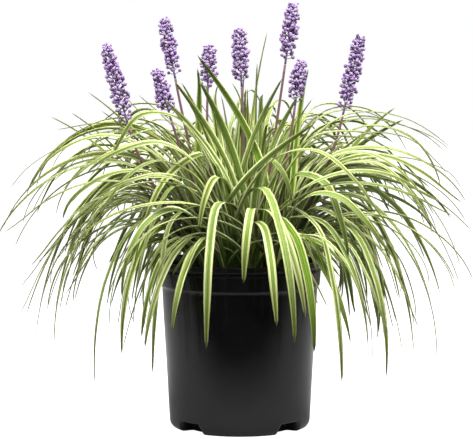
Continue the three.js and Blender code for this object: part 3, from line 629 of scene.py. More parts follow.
# %% One blade
LEAST_HALF = 0.75 * MM  # half the width of a blade where its tip begins to close
TIP_HALF = 0.02 * MM  # and at its very tip
SLENDER_ROUND = 1.5  # how late in its far half a slender blade narrows
LEAST_DEPTH = 0.6  # of a narrow stretch's section, as a share of the full one
TWIST_FROM, TWIST_OVER = 0.2, 0.45  # where a blade begins to turn and how soon, as shares of it
WAVE_LENGTH = 38 * MM  # of a blade's slight waving from side to side, for one radian
WAVE_START = 9  # how far apart two leaves' waves begin, for each unit of tone
WAVE_FREE = 60 * MM  # up to here from its foot a blade waves less


def blade_part(leaf, cell, tone, wave, twist, slender):
    """A fine blade through a leaf's rows, which turns about its own line by the twist."""
    middles, uppers, halves = with_foot(*leaf)
    stations = stations_of(middles)
    wanted = blade_stations(stations[-1])
    line = smoothed(stations, middles, wanted)
    upper = smoothed(stations, uppers, wanted)
    # The half width runs smoothly through the rings and closes to a point after the last one.
    half = smoothed(stations[:-1], halves[:-1], np.minimum(wanted, stations[-2]))
    beyond = np.clip((wanted - stations[-2]) / (stations[-1] - stations[-2]), 0, 1)
    narrowing = 1 - slender * np.clip(2 * wanted / stations[-1] - 1, 0, 1) ** SLENDER_ROUND
    half = np.maximum(half * narrowing, LEAST_HALF) * (1 - beyond**3) + TIP_HALF
    depth = np.maximum(np.sqrt(half / halves.max()), LEAST_DEPTH) * (1 - beyond**3)
    along = unit(np.gradient(line, axis=0))
    across = unit(np.cross(along, upper))
    upper = np.cross(across, along)
    # A positive twist turns the upper face away from the clump's middle, to the front or the back.
    inward = np.sign(across[BLADE_STATIONS // 2, 1] * line[0, 1])
    turned = -inward * twist * smooth_step((wanted / stations[-1] - TWIST_FROM) / TWIST_OVER)
    cos, sin = np.cos(turned)[:, None], np.sin(turned)[:, None]
    across, upper = across * cos + upper * sin, upper * cos - across * sin
    sway = wave * np.sin(wanted / WAVE_LENGTH + WAVE_START * tone)
    line = line + across * (sway * np.clip(wanted / WAVE_FREE, 0, 1))[:, None]
    rings = (line[:, None] + across[:, None] * (half[:, None] * SPLIT)[..., None]
             + upper[:, None] * (depth[:, None] * section_heights())[..., None])
    below = len(wanted) - 1  # rings below the tip, which is a single point
    values = {
        "across": np.tile(SPLIT, below),
        "along": np.repeat(wanted[:-1] / stations[-1], len(SPLIT)),
        "tone": tone,
        "under": np.tile((FACING < 0).astype(float), below),
    }
    return tube_part(rings[:-1], values, cell, closed_tip=line[-1])


print("corners of one blade:", (BLADE_STATIONS - 1) * len(BLADE_SECTION) + 1)

# %% [markdown]
# ## Kinds of leaf
#
# A leaf changes as it ages: it comes up in the middle of its shoot, stands upright, leans out and
# at last hangs. The leaves that were read are told apart by where they end, so that each kind gets
# its own habit: how much it turns about its line, how slender its far half is, and how many more
# leaves of its kind grow beside it.

# %% Tell the kinds apart
# For each kind: how many extra leaves one leaf gets, how far each of them is turned about its foot
# in radians, its reach and height as shares of the leaf whose line it takes, the typical twist of a
# leaf in radians, and how much its far half narrows at most.
LEAF_KINDS = {
    "side": {"extras": 2.0, "turn": (0.08, 0.4), "reach": (0.74, 1.02), "height": (0.84, 1.04),
             "twist": 0.4, "slender": 0.9},
    "hanging": {"extras": 1.6, "turn": (0.08, 0.4), "reach": (0.84, 1.1), "height": (0.84, 1.0),
                "twist": 0.3, "slender": 0.9},
    "upright": {"extras": 3.6, "turn": (0.3, 1.2), "reach": (0.9, 2.5), "height": (0.74, 0.99),
                "twist": 0.25, "slender": 0.3},
    "front": {"extras": 0, "twist": 0.1, "slender": 0.1},
}
UPRIGHT_REACH = 55 * MM  # a leaf that ends nearer to its foot than this is upright
FRONT_DEPTH = 40 * MM  # a leaf that ends this far forward and not far to a side hangs in front
FRONT_HALF = 105 * MM
HANGING_HEIGHT = 160 * MM  # a leaf that ends lower than this, and not in front, hangs at a side


def kind_of(middles):
    """Whether a leaf is upright, hangs in front, hangs at a side or leans out."""
    tip, foot = middles[-1], middles[0]
    if np.hypot(*(tip[:2] - foot[:2])) < UPRIGHT_REACH:
        return "upright"
    if tip[1] < -FRONT_DEPTH and abs(tip[0]) < FRONT_HALF:
        return "front"
    return "hanging" if tip[2] < HANGING_HEIGHT else "side"


for kind in LEAF_KINDS:
    print(kind, sum(kind_of(leaf[0]) == kind for fan in FANS.values() for leaf in fan))

# %% [markdown]
# ## More leaves between the read ones
#
# A real clump has far more leaves than the frame holds. The extra ones could be scattered by
# chance, but then the clump would lose its form. So each takes the line of a leaf that was read. It
# is turned a little about its foot, reaches less or more far, bends to a side, and droops the more
# the further it reaches. The leaves in front hang free over the pot and stay single. A leaf is left
# out if it would leave the plant's box, pass through the pot's rim, or hide a flower stalk.

# %% Extra leaves
EXTRA_STRAY = 5 * MM  # how far the tip of an extra leaf typically strays in each direction
EXTRA_BEND = 22 * MM  # how far it typically bends to a side
EXTRA_DROOP = 45 * MM  # how far the tip of one that reaches twice as far sinks
EXTRA_WIDTH = (0.8, 1.1)  # its width as a share of the leaf whose line it takes


def extra_leaf(leaf):
    """A copy of a leaf, turned about its foot, with its own reach, height, bend and width."""
    middles, uppers, halves = leaf
    kind = LEAF_KINDS[kind_of(middles)]
    turn = rng.uniform(*kind["turn"]) * rng.choice([-1, 1])
    reach, height = rng.uniform(*kind["reach"]), rng.uniform(*kind["height"])
    cos, sin = math.cos(turn), math.sin(turn)
    spin = np.array([[cos, sin, 0], [-sin, cos, 0], [0, 0, 1]])
    along = np.linspace(0, 1, len(middles))[:, None]
    moved = (middles - middles[0]) * [reach, reach, height] @ spin + middles[0]
    moved += along * rng.normal(0, EXTRA_STRAY, 3)
    sideways = unit(np.cross([0, 0, 1], unit(moved[-1] - moved[0])))
    moved += along**2 * sideways * rng.normal(0, EXTRA_BEND)
    moved -= along**3 * [0, 0, EXTRA_DROOP * max(reach - 1, 0)]
    return moved, uppers @ spin, halves * rng.uniform(*EXTRA_WIDTH)


print("an extra leaf bends aside by", round(EXTRA_BEND / MM), "mm or so")

# %% Room for an extra leaf
POT_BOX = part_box("pot")
POT_TOP = POT_BOX[1].z
POT_RADIUS = POT_BOX[1].x
RIM_CLEAR = (2 * MM, 4 * MM)  # kept outside the rim and above it
RIM_INSIDE = 60 * MM  # a leaf may be lower than that only this close to the pot's axis
OWN_FOOT = 0.12  # the share of a leaf that isn't tested, at its foot
BOX_SPARE = 4 * MM  # a leaf's line may leave the frame's box by this much
STALK_CLEAR = 6 * MM  # no extra leaf passes closer than this in front of a stalk
STALK_CLEAR_FROM = 35 * MM  # above the soil
STALK_TESTS, STRETCH_TESTS, LEAF_TESTS = 24, 6, 40  # points on a stalk, a stretch and a leaf


def inside_box(middles):
    """Whether a leaf's line stays in the plant's box."""
    low, high = np.array(CAD_BOX[0]) - BOX_SPARE, np.array(CAD_BOX[1]) + BOX_SPARE
    return bool(((middles > low) & (middles < high)).all())


def passes_rim(middles):
    """Whether a leaf's line comes too near to the pot."""
    stations = stations_of(middles)
    line = smoothed(stations, middles, np.linspace(OWN_FOOT, 1, LEAF_TESTS) * stations[-1])
    distance = np.hypot(line[:, 0], line[:, 1])
    near = (distance < POT_RADIUS + RIM_CLEAR[0]) & (line[:, 2] < POT_TOP + RIM_CLEAR[1])
    return bool((distance[near] > RIM_INSIDE).any())


def hides_stalk(middles):
    """Whether a leaf would pass close in front of a flower stalk."""
    shares = np.linspace(0, 1, STRETCH_TESTS)[:, None]
    spots = np.vstack([row + (after - row) * shares for row, after in zip(middles, middles[1:])])
    for stalk in STALK_LINES.values():
        heights = np.linspace(SOIL_TOP + STALK_CLEAR_FROM, stalk[-1, 2], STALK_TESTS)
        stalk_x, stalk_y = (np.interp(heights, stalk[:, 2], stalk[:, i]) for i in (0, 1))
        for x, y, z in spots:
            close = (np.abs(heights - z) < STALK_CLEAR) & (np.abs(stalk_x - x) < STALK_CLEAR)
            if (close & (y < stalk_y)).any():
                return True
    return False


def has_room(leaf):
    return inside_box(leaf[0]) and not passes_rim(leaf[0]) and not hides_stalk(leaf[0])


print("the rim:", round(POT_RADIUS / MM, 1), "mm from the axis,", round(POT_TOP / MM, 1), "mm high")

# %% [markdown]
# ## Short leaves over the rim
#
# A few young leaves at the clump's edge are short and arch low over the pot's rim. They close the
# gap between the soil and the long leaves. They are too small to be in the frame, so their line is
# given here, and its length, height, width and bend differ from leaf to leaf.

# %% Low leaves
# Along the line of a low leaf, in millimetres: how far out, how far up and half its width.
LOW_OUT = np.array([0, 7, 20, 36, 52, 66, 76]) * MM
LOW_UP = np.array([8, 26, 38, 43, 38, 26, 14]) * MM
LOW_HALVES = np.array([1.9, 2.6, 3.1, 3.2, 2.8, 1.8, 0]) * MM
# How its length, its height over the soil and its width differ from leaf to leaf.
LOW_LENGTHS, LOW_HEIGHTS, LOW_WIDTHS = (0.8, 1.15), (0.9, 1.35), (0.8, 1.2)
LOW_COUNT = 4  # for each shoot of the outer ring
LOW_SPREAD = 0.55  # how far they point away from straight out, in radians
LOW_BEND = 0.25  # how far one typically bends to a side, in radians
OUTER_RING = 32 * MM
FRONT_OPEN = 0.45  # no low leaf points closer than this to the front, in radians


def low_leaf(foot, turn):
    """A short leaf that rises from a foot and arches away in a direction."""
    out = LOW_OUT * rng.uniform(*LOW_LENGTHS)
    up = LOW_UP * [1, 1, *[rng.uniform(*LOW_HEIGHTS)] * 5]
    bend = turn + rng.normal(0, LOW_BEND) * np.linspace(0, 1, len(out))
    ahead = np.stack([np.cos(bend), np.sin(bend), np.zeros(len(out))], axis=1)
    middles = ahead * out[:, None] + [foot[0], foot[1], SOIL_TOP] + [0, 0, 1] * up[:, None]
    slope = np.gradient(up) / np.gradient(out)
    uppers = unit([0, 0, 1] - ahead * slope[:, None])
    return middles, uppers, LOW_HALVES * rng.uniform(*LOW_WIDTHS)


def low_leaves(name):
    """The short leaves of a shoot, if it stands in the outer ring and not at the very front."""
    foot = np.mean([leaf[0][0] for leaf in FANS[name]], axis=0)
    if np.hypot(*foot[:2]) < OUTER_RING:
        return []
    outward = math.atan2(foot[1], foot[0])
    turns = outward + rng.uniform(-LOW_SPREAD, LOW_SPREAD, LOW_COUNT)
    return [low_leaf(foot, turn) for turn in turns
            if abs(math.remainder(turn + TURN / 4, TURN)) > FRONT_OPEN]


print("low leaves at most:", LOW_COUNT * len(FANS))

# %% [markdown]
# ## Growing the fans
#
# Each shoot is one piece: the leaves that were read, its low ones and its extra ones. A leaf's tone
# says how old it looks. It rises with how far the leaf reaches, and a little chance keeps
# neighbours apart. The material reads it for the leaf's colour and for its own pattern of stripes.

# %% Make the fans
YOUNG_REACH, OLD_REACH = 40 * MM, 200 * MM
YOUNG_TONE, TONE_WITH_AGE, TONE_CHANCE = 0.12, 0.55, (-0.12, 0.22)
TWIST_CHANCE = 0.7  # how far a leaf's twist typically strays, as a share
WAVE_HEIGHTS = (0.2 * MM, 0.8 * MM)


def leaf_tone(middles):
    """A leaf's tone from 0 to 1: low for the young upright ones, higher with age."""
    reach = np.hypot(*(middles[-1][:2] - middles[0][:2]))
    age = np.clip((reach - YOUNG_REACH) / (OLD_REACH - YOUNG_REACH), 0, 1)
    return float(np.clip(YOUNG_TONE + TONE_WITH_AGE * age + rng.uniform(*TONE_CHANCE), 0, 1))


def make_fan(name):
    """All the leaves of one fan as one piece."""
    grown = list(FANS[name]) + low_leaves(name)
    for leaf in FANS[name]:
        for _ in range(int(LEAF_KINDS[kind_of(leaf[0])]["extras"] + rng.uniform())):
            new = extra_leaf(leaf)
            if has_room(new):
                grown.append(new)
    parts = []
    for leaf, cell in zip(grown, cells(len(grown), len(grown))):
        kind = LEAF_KINDS[kind_of(leaf[0])]
        twist = kind["twist"] * rng.normal(1.0, TWIST_CHANCE)
        wave = rng.uniform(*WAVE_HEIGHTS)
        slender = kind["slender"] * rng.uniform()
        parts.append(blade_part(leaf, cell, leaf_tone(leaf[0]), wave, twist, slender))
    piece = joined_piece("leaves_" + name[-2:], parts, LEAF_TISSUE)
    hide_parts(name)
    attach(piece, "root")
    return len(grown)


leaf_count = sum(make_fan(name) for name in FAN_NAMES)
print("leaves made:", leaf_count)

# %% [markdown]
# ## Stalks
#
# A scape is a bare round stem, about 3 mm thick at the soil and 2 mm under the buds, with faint
# lengthwise ribs. A curve with a round bevel would do for a plain stem. Rings of points along the
# smooth line can have the ribs too, and give the material a place along the stem and round it.

# %% Make the stalks
STALK_SIDES = 12
WHOLE_IMAGE = (0.02, 0.02, 0.96, 0.96)  # a single part fills the bake image
STALK_STATIONS = 28
STALK_RADII = (1.75 * MM, 1.15 * MM)  # at the soil and under the buds
STALK_RIB = 0.05  # the height of its ribs as a share of its radius


def rings_round(line, radii, sides):
    """Round rings along a line, each turned as little as possible from the one before."""
    along = unit(np.gradient(line, axis=0))
    across = np.array([1.0, 0, 0])
    rings = []
    for middle, ahead, radius in zip(line, along, radii):
        across = unit(across - ahead * (across @ ahead))
        other = np.cross(ahead, across)
        angles = np.arange(sides) * TURN / sides
        ring = np.outer(np.cos(angles), across) + np.outer(np.sin(angles), other)
        rings.append(middle + ring * np.reshape(radius, (-1, 1)))
    return np.array(rings)


def make_stalk(name):
    middles = STALK_LINES[name]
    stations = stations_of(middles)
    wanted = np.linspace(0, stations[-1], STALK_STATIONS)
    line = smoothed(stations, middles, wanted)
    radii = np.interp(wanted, [0, stations[-1]], STALK_RADII)
    ribs = 1 + STALK_RIB * np.cos(np.arange(STALK_SIDES) * math.pi)
    rings = rings_round(line, radii[:, None] * ribs, STALK_SIDES)
    values = {
        "across": np.tile(np.linspace(-1, 1, STALK_SIDES), STALK_STATIONS),
        "along": np.repeat(wanted / stations[-1], STALK_SIDES),
        "tone": float(rng.uniform(0, 1)),
    }
    part = tube_part(rings, values, WHOLE_IMAGE)
    piece = joined_piece("stalk_" + name[-1], [part], STALK_SKIN)
    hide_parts(name)
    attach(piece, "root")
    return piece


stalks = [make_stalk(name) for name in STALK_NAMES]
print("stalks made:", len(stalks))

# %% [markdown]
# ## Flower spikes
#
# A raceme's buds sit in whorls on short stems, the lowest apart from each other, the highest small
# and close. A bud is a closed bead of six petals: round, a little longer than wide, with six
# shallow grooves that meet at its tip. Spheres would look like glass beads, and one bud scattered
# as copies would be too even. So each bud is turned from one profile at its own size, place and
# tone.

# %% One bud
BUD_SIDES = 12
BUD_PROFILE = [(0.0, 0.22), (0.1, 0.62), (0.3, 0.95), (0.52, 1.0), (0.74, 0.82), (0.9, 0.46)]
BUD_RADIUS = 1.95 * MM
BUD_LENGTH = 4.1 * MM
BUD_GROOVE = 0.07  # the depth of its grooves as a share of its radius
STEM_RADIUS = 0.42 * MM
STEM_SIDES = 6
STEM_SAG = 0.2 * MM
# The stems take the deep purple end of the bud colours: partly their own colour, partly painted
# shade between the buds.
STEM_VALUES = {"along": 0.1, "tone": 0.1}  # a deep purple


def bud_part(foot, direction, size, tone, cell):
    """One closed bud from its foot along a direction."""
    stops = np.array([foot + direction * BUD_LENGTH * size * share for share, _ in BUD_PROFILE])
    radii = np.array([BUD_RADIUS * size * share for _, share in BUD_PROFILE])
    grooves = 1 - BUD_GROOVE * (np.arange(BUD_SIDES) % 2 == 0)
    rings = rings_round(stops, radii[:, None] * grooves, BUD_SIDES)
    values = {
        "along": np.repeat([share for share, _ in BUD_PROFILE], BUD_SIDES),
        "tone": tone,
    }
    return tube_part(rings, values, cell, closed_tip=foot + direction * BUD_LENGTH * size)


def stem_part(start, end, cell):
    """A bud's short stem."""
    line = np.array([start, (start + end) / 2 - [0, 0, STEM_SAG], end])
    return tube_part(rings_round(line, [[STEM_RADIUS]] * 3, STEM_SIDES), STEM_VALUES, cell)


print("corners of one bud:", BUD_SIDES * len(BUD_PROFILE) + 1)

# %% Places of the buds
FRAME_SPIKE_SIDES = 10
FIRST_BUD, LAST_BUD = 5 * MM, 2 * MM  # from the spike's foot and from its tip
WHORL_STEP = 3.6 * MM
# Up a spike, as pairs of a share of its length and a value there.
STEP_SHARES = ([0, 0.18, 0.3, 1], [1.5, 1.15, 0.92, 0.72])  # of the whorls' step
BUD_SIZES = ([0, 0.2, 0.6, 0.85, 1], [0.95, 1.05, 1.0, 0.8, 0.5])
BUD_STANDS = ([0, 0.5, 0.85, 1], [6.0, 6.9, 5.2, 2.2])  # how far one stands out, in millimetres
CROWDS = ((0.12, 3), (0.22, 5), (1, 7))  # up to a share of the length: the buds in a whorl
# How far a bud typically strays up and round, and a whorl round, and how sizes and stands differ.
UP_STRAY, TURN_STRAY, WHORL_STRAY = 0.9 * MM, 0.16, 0.1
SIZE_CHANCE, STAND_CHANCE = (0.86, 1.1), (0.5, 1.12)


def spike_axis(name):
    """The foot and the tip of a spike, from its lowest ring of corners and its highest corner."""
    corners, _ = corners_of(name)
    corners = corners[np.argsort(corners[:, 2])]
    return corners[:FRAME_SPIKE_SIDES].mean(0), corners[-1]


def bud_places(length):
    """For each bud: its distance up the axis, its turn, its size and how far it stands out."""
    places = []
    up, turn = FIRST_BUD, rng.uniform(0, TURN)
    while up < length - LAST_BUD:
        share = up / length
        crowd = next(count for top, count in CROWDS if share < top)
        size, stand = np.interp(share, *BUD_SIZES), np.interp(share, *BUD_STANDS) * MM
        for i in range(crowd):
            places.append((
                up + rng.normal(0, UP_STRAY),
                turn + i * TURN / crowd + rng.normal(0, TURN_STRAY),
                size * rng.uniform(*SIZE_CHANCE),
                stand * rng.uniform(*STAND_CHANCE),
            ))
        turn += TURN / crowd / 2 + rng.normal(0, WHORL_STRAY)
        up += WHORL_STEP * np.interp(share, *STEP_SHARES)
    return places


print("whorls' steps in mm:", *(WHORL_STEP / MM * np.array(STEP_SHARES[1])).round(1))

# %% Make the spikes
AXIS_RADII = (1.15 * MM, 0.5 * MM)
AXIS_RINGS, AXIS_SIDES = 12, 8
AXIS_SHARE = 0.97  # how far up the spike its axis reaches
# The axis takes the deep purple end too: partly its own colour, partly painted shade between the
# buds.
AXIS_VALUES = {"along": 0.15, "tone": 0.15}
STEM_LIFTS = (0.25, 0.75)  # how much a bud's stem rises for each unit that it goes out
BUD_LIFT = 0.3  # and how much more the bud itself points up
STEM_IN_BUD = 0.4 * MM
TONE_UP_SPIKE, BUD_TONES = 0.55, (-0.1, 0.45)  # a bud's tone rises up the spike, with chance
BAKE_COLUMNS = 16


def make_spike(name):
    foot, tip = spike_axis(name)
    direction = unit(tip - foot)
    length = np.linalg.norm(tip - foot)
    side = unit(np.cross(direction, [0.0, 1.0, 0.0]))
    other = np.cross(direction, side)
    places = bud_places(length)
    slots = cells(2 * len(places) + 1, BAKE_COLUMNS)
    axis = np.linspace(0, AXIS_SHARE, AXIS_RINGS)[:, None] * direction * length + foot
    axis_radii = np.linspace(*AXIS_RADII, AXIS_RINGS)[:, None]
    parts = [tube_part(rings_round(axis, axis_radii, AXIS_SIDES), AXIS_VALUES, next(slots))]
    for up, turn, size, stand in places:
        outward = side * math.cos(turn) + other * math.sin(turn)
        lift = unit(direction * rng.uniform(*STEM_LIFTS) + outward)
        start = foot + direction * up
        end = start + lift * (stand + AXIS_RADII[1])
        parts.append(stem_part(start, end + lift * STEM_IN_BUD, next(slots)))
        tone = float(np.clip(up / length * TONE_UP_SPIKE + rng.uniform(*BUD_TONES), 0, 1))
        parts.append(bud_part(end, unit(lift + direction * BUD_LIFT), size, tone, next(slots)))
    piece = joined_piece("buds_" + name[-1], parts, BUD_PETAL)
    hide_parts(name)
    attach(piece, "root")
    return len(places)


SPIKE_NAMES = sorted(name for name in NODES if name.startswith("flower_spike"))
bud_count = sum(make_spike(name) for name in SPIKE_NAMES)
print("buds made:", bud_count)

# %% [markdown]
# ## The pot
#
# The pot is turned from one profile, with a small radius at every edge, because moulded plastic has
# no sharp ones. It is those radii that catch the light as thin lines round the collar. At the foot
# are four drain notches with slanting sides. A boolean cut would leave long thin faces in the wall,
# which shade badly. So the notches are made in the turning itself: at every angle the foot of the
# profile lies between a plain one and one that is set in, and the share changes smoothly.

# %% The pot's profile
# Radius and height in millimetres. The first points, under the foot and up its corner, move at a
# notch to the places in the second list: along the notch's roof and down its back.
FOOT_PLAIN = [
    (56, 0), (58.5, 0), (61, 0), (63.5, 0), (66, 0), (68.2, 0.3), (70.2, 1.3), (71.8, 3.2),
    (72.75, 6.2), (72.95, 9.5), (73.1, 12.2), (73.22, 14),
]
FOOT_SET_IN = [
    (56, 0), (56.4, 1.2), (56.7, 5), (57.0, 8.2), (58.2, 10.2), (61, 10.8), (65, 10.9),
    (69.5, 10.9), (71.6, 11.1), (72.6, 11.7), (73.1, 12.8), (73.22, 14),
]
# From there up: the wall, the collar with its rounded edges, the groove and the lip with its bead.
POT_OUTSIDE = [
    (73.4, 18), (75, 46), (77, 81), (79, 116), (80.3, 143), (80.45, 146.2), (80.8, 146.9),
    (81.5, 147), (82.3, 147.15), (82.85, 147.7), (83.0, 148.6), (83.1, 150.5), (84.0, 161.6),
    (84.0, 162.7), (83.6, 163.6), (82.8, 164.1), (82.1, 164.5), (81.8, 165.2), (81.8, 166),
    (82.1, 166.6), (82.9, 166.8), (83.6, 167.3), (83.8, 168.1), (83.5, 168.9), (83.1, 169.4),
    (83.1, 171.2), (82.8, 172.2), (82.1, 172.85), (81.1, 173),
]
POT_INSIDE = [(80.1, 172.9), (79.5, 172.3), (79.2, 171.2), (78.9, 151), (72.1, 15), (55, 13)]
PROFILES = [np.array(foot + POT_OUTSIDE + POT_INSIDE) for foot in (FOOT_PLAIN, FOOT_SET_IN)]
print("profile points:", len(PROFILES[0]))

# %% The pot's notches
NOTCH_TURNS = [math.radians(45 + 90 * i) for i in range(4)]
NOTCH_RADIUS = 73 * MM  # of the pot's wall there
NOTCH_TOP_HALF = 10 * MM  # half its width at the roof
NOTCH_FOOT_HALF = 17.5 * MM  # half its width at the floor
POT_SIDES = 96
NOTCH_COLUMNS = 12  # extra columns in each slanting side
SHARP_ANGLE = math.radians(60)  # edges of the pot sharper than this aren't smoothed over


def notch_share(turn):
    """How far the foot is set in at an angle: 0 for plain, 1 in a notch."""
    away = min(abs(math.remainder(turn - middle, TURN)) for middle in NOTCH_TURNS) * NOTCH_RADIUS
    return smooth_step((NOTCH_FOOT_HALF - away) / (NOTCH_FOOT_HALF - NOTCH_TOP_HALF))


def pot_turns():
    """The angles of the pot's columns, close together where a notch's sides slant."""
    turns = {round(TURN * k / POT_SIDES, 6) for k in range(POT_SIDES)}
    inner, outer = NOTCH_TOP_HALF / NOTCH_RADIUS, NOTCH_FOOT_HALF / NOTCH_RADIUS
    for middle in NOTCH_TURNS:
        for away in np.linspace(inner, outer, NOTCH_COLUMNS):
            turns |= {round(middle + away, 6), round(middle - away, 6)}
    return sorted(turns)


print("columns round the pot:", len(pot_turns()))

# %% Turn the pot
def object_from(body, name):
    """An object in the scene from a bmesh."""
    mesh = bpy.data.meshes.new(name)
    bmesh.ops.recalc_face_normals(body, faces=body.faces)
    body.to_mesh(mesh)
    body.free()
    made = bpy.data.objects.new(name, mesh)
    bpy.context.scene.collection.objects.link(made)
    return made


def make_pot():
    plain, set_in = PROFILES
    body = bmesh.new()
    rows = []
    for turn in pot_turns():
        profile = plain + (set_in - plain) * notch_share(turn)
        rows.append([body.verts.new((r * MM * math.cos(turn), r * MM * math.sin(turn), z * MM))
                     for r, z in profile])
    under, floor = body.verts.new((0, 0, 0)), body.verts.new((0, 0, POT_INSIDE[-1][1] * MM))
    for row, after in zip(rows, rows[1:] + rows[:1]):
        body.faces.new([row[0], under, after[0]])
        body.faces.new([row[-1], after[-1], floor])
        for i in range(len(row) - 1):
            body.faces.new([row[i], after[i], after[i + 1], row[i + 1]])
    pot = object_from(body, "nursery_pot")
    pot.data.materials.append(POT_PLASTIC)
    pot.data.polygons.foreach_set("use_smooth", [True] * len(pot.data.polygons))
    pot.data.set_sharp_from_angle(angle=SHARP_ANGLE)
    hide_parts("pot")
    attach(pot, "root")
    return pot


pot = make_pot()
print("pot faces:", len(pot.data.polygons), "box:", [round(c, 4) for c in pot.dimensions])

# %% [markdown]
# ## The soil
#
# Only the top of the potting mix shows, between the shoots and inside the rim. It is a shallow
# mound with lumps, and loose crumbs of bark and peat lie on it. A bump in the material alone would
# look flat from the side. So the mound's lumps are a formula of its height, and the crumbs are
# small stones of different lengths, squashed and turned at random.

# %% Shape the soil
SOIL_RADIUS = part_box("potting_mix")[1].x
SOIL_LOW = 16 * MM  # above the pot's floor and its notches
SOIL_TAPER = 0.89  # the pot is narrower at its foot
SOIL_RINGS = 26
SOIL_SIDES = 120
MOUND = 2 * MM  # how much higher the soil is in the middle
SOIL_SUNK = 0.8 * MM  # so that the lumps stay under the frame's soil
LUMPS = 1.1 * MM  # the height of its lumps
LUMP_SIZES = ((60, 1.0, 0.0), (190, 0.6, 0.3))  # how many for a metre, their share, their layer


def soil_height(x, y):
    """The soil's height with its lumps."""
    mound = SOIL_TOP - MOUND * (math.hypot(x, y) / SOIL_RADIUS) ** 2
    lumps = sum(share * noise.noise(Vector((x, y, layer)) * per_metre)
                for per_metre, share, layer in LUMP_SIZES)
    return mound + LUMPS * lumps - SOIL_SUNK


def soil_body():
    """The mound's top, and a plain skirt and floor that the pot hides."""
    body = bmesh.new()
    middle = body.verts.new((0, 0, soil_height(0, 0)))
    rings = []
    for i in range(1, SOIL_RINGS + 1):
        radius = SOIL_RADIUS * i / SOIL_RINGS
        turns = [TURN * k / SOIL_SIDES for k in range(SOIL_SIDES)]
        spots = [(radius * math.cos(turn), radius * math.sin(turn)) for turn in turns]
        rings.append([body.verts.new((x, y, soil_height(x, y))) for x, y in spots])
    floor = [body.verts.new((v.co.x * SOIL_TAPER, v.co.y * SOIL_TAPER, SOIL_LOW))
             for v in rings[-1]]
    rings.append(floor)
    for k in range(SOIL_SIDES):
        n = (k + 1) % SOIL_SIDES
        body.faces.new([middle, rings[0][k], rings[0][n]])
        for inner, outer in zip(rings, rings[1:]):
            body.faces.new([inner[k], outer[k], outer[n], inner[n]])
    body.faces.new(list(reversed(floor)))
    return body


print("the soil lies between", round(soil_height(SOIL_RADIUS, 0) / MM, 1), "and",
      round(soil_height(0, 0) / MM, 1), "mm")

# %% Make the soil and its crumbs
CRUMB_COUNT = 1100
CRUMB_CORNERS = [(0, 0, 1), (1, 0, 0), (0, 1, 0), (-1, 0, 0), (0, -1, 0), (0, 0, -1)]
CRUMB_SHAPES = ((0.8, 2.2), (0.7, 1.1), (0.4, 0.8))  # length, width and height for its size
CRUMB_SPREAD = 0.45  # how much the sizes differ, around 1 mm
CRUMB_ROUGH = 0.16  # how far a corner typically moves, as a share of the size
CRUMB_LIFT = 0.25  # how far its middle lies over the soil, as a share of the size
CRUMB_CLEAR = 1.5 * MM  # kept from the pot's wall
SOIL_TONE = 0.3  # of the mound under the crumbs


def add_crumb(body):
    """One crumb: an eight-faced stone with its corners moved, lying on the soil."""
    radius = (SOIL_RADIUS - CRUMB_CLEAR) * math.sqrt(rng.uniform())
    turn = rng.uniform(0, TURN)
    x, y = radius * math.cos(turn), radius * math.sin(turn)
    size = rng.lognormal(0, CRUMB_SPREAD) * MM
    shape = np.array([size * rng.uniform(*shares) for shares in CRUMB_SHAPES])
    corners = np.array(CRUMB_CORNERS) * shape + rng.normal(0, CRUMB_ROUGH * size, (6, 3))
    spin = rng.uniform(0, TURN)
    cos, sin = math.cos(spin), math.sin(spin)
    corners = corners @ np.array([[cos, sin, 0], [-sin, cos, 0], [0, 0, 1]])
    corners = corners + [x, y, soil_height(x, y) + CRUMB_LIFT * size]
    dots = [body.verts.new(c) for c in corners]
    for k in range(4):
        a, b = dots[1 + k], dots[1 + (k + 1) % 4]
        body.faces.new([a, b, dots[0]])
        body.faces.new([b, a, dots[5]])


def make_soil():
    body = soil_body()
    plain = len(body.verts)
    for _ in range(CRUMB_COUNT):
        add_crumb(body)
    soil = object_from(body, "potting_soil")
    tones = np.full(len(soil.data.vertices), SOIL_TONE)
    tones[plain:] = np.repeat(rng.uniform(0, 1, CRUMB_COUNT), len(CRUMB_CORNERS))
    attribute = soil.data.attributes.new("tone", "FLOAT", "POINT")
    attribute.data.foreach_set("value", tones.astype(np.float32))
    soil.data.materials.append(POTTING_MIX)
    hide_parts("potting_mix")
    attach(soil, "root")
    return soil


soil = make_soil()
print("soil faces:", len(soil.data.polygons))

# %% [markdown]
# ## The floor
#
# The plant stands on pale seamless paper, lit so brightly that it looks nearly white. A black
# glossy pot mirrors whatever lies in front of it, and in a studio that is the dark room beside the
# camera. So the paper is painted dark some way in front of the pot, where the pot's wall would
# mirror it: painted shade that stands for the unlit room. It is pale under, beside and behind the
# pot. To the camera all of it glows alike.

# %% Lay the floor
FLOOR_SIZE = 14.0
# Nearer the camera than this the paper is painted dark, as painted shade for the pot to mirror.
FLOOR_LIT = (-0.38, -0.16)  # where the lit part of the paper begins in front of the pot, in metres
FLOOR_GLOW = 1.0  # what the camera sees of the paper besides the lamps' light


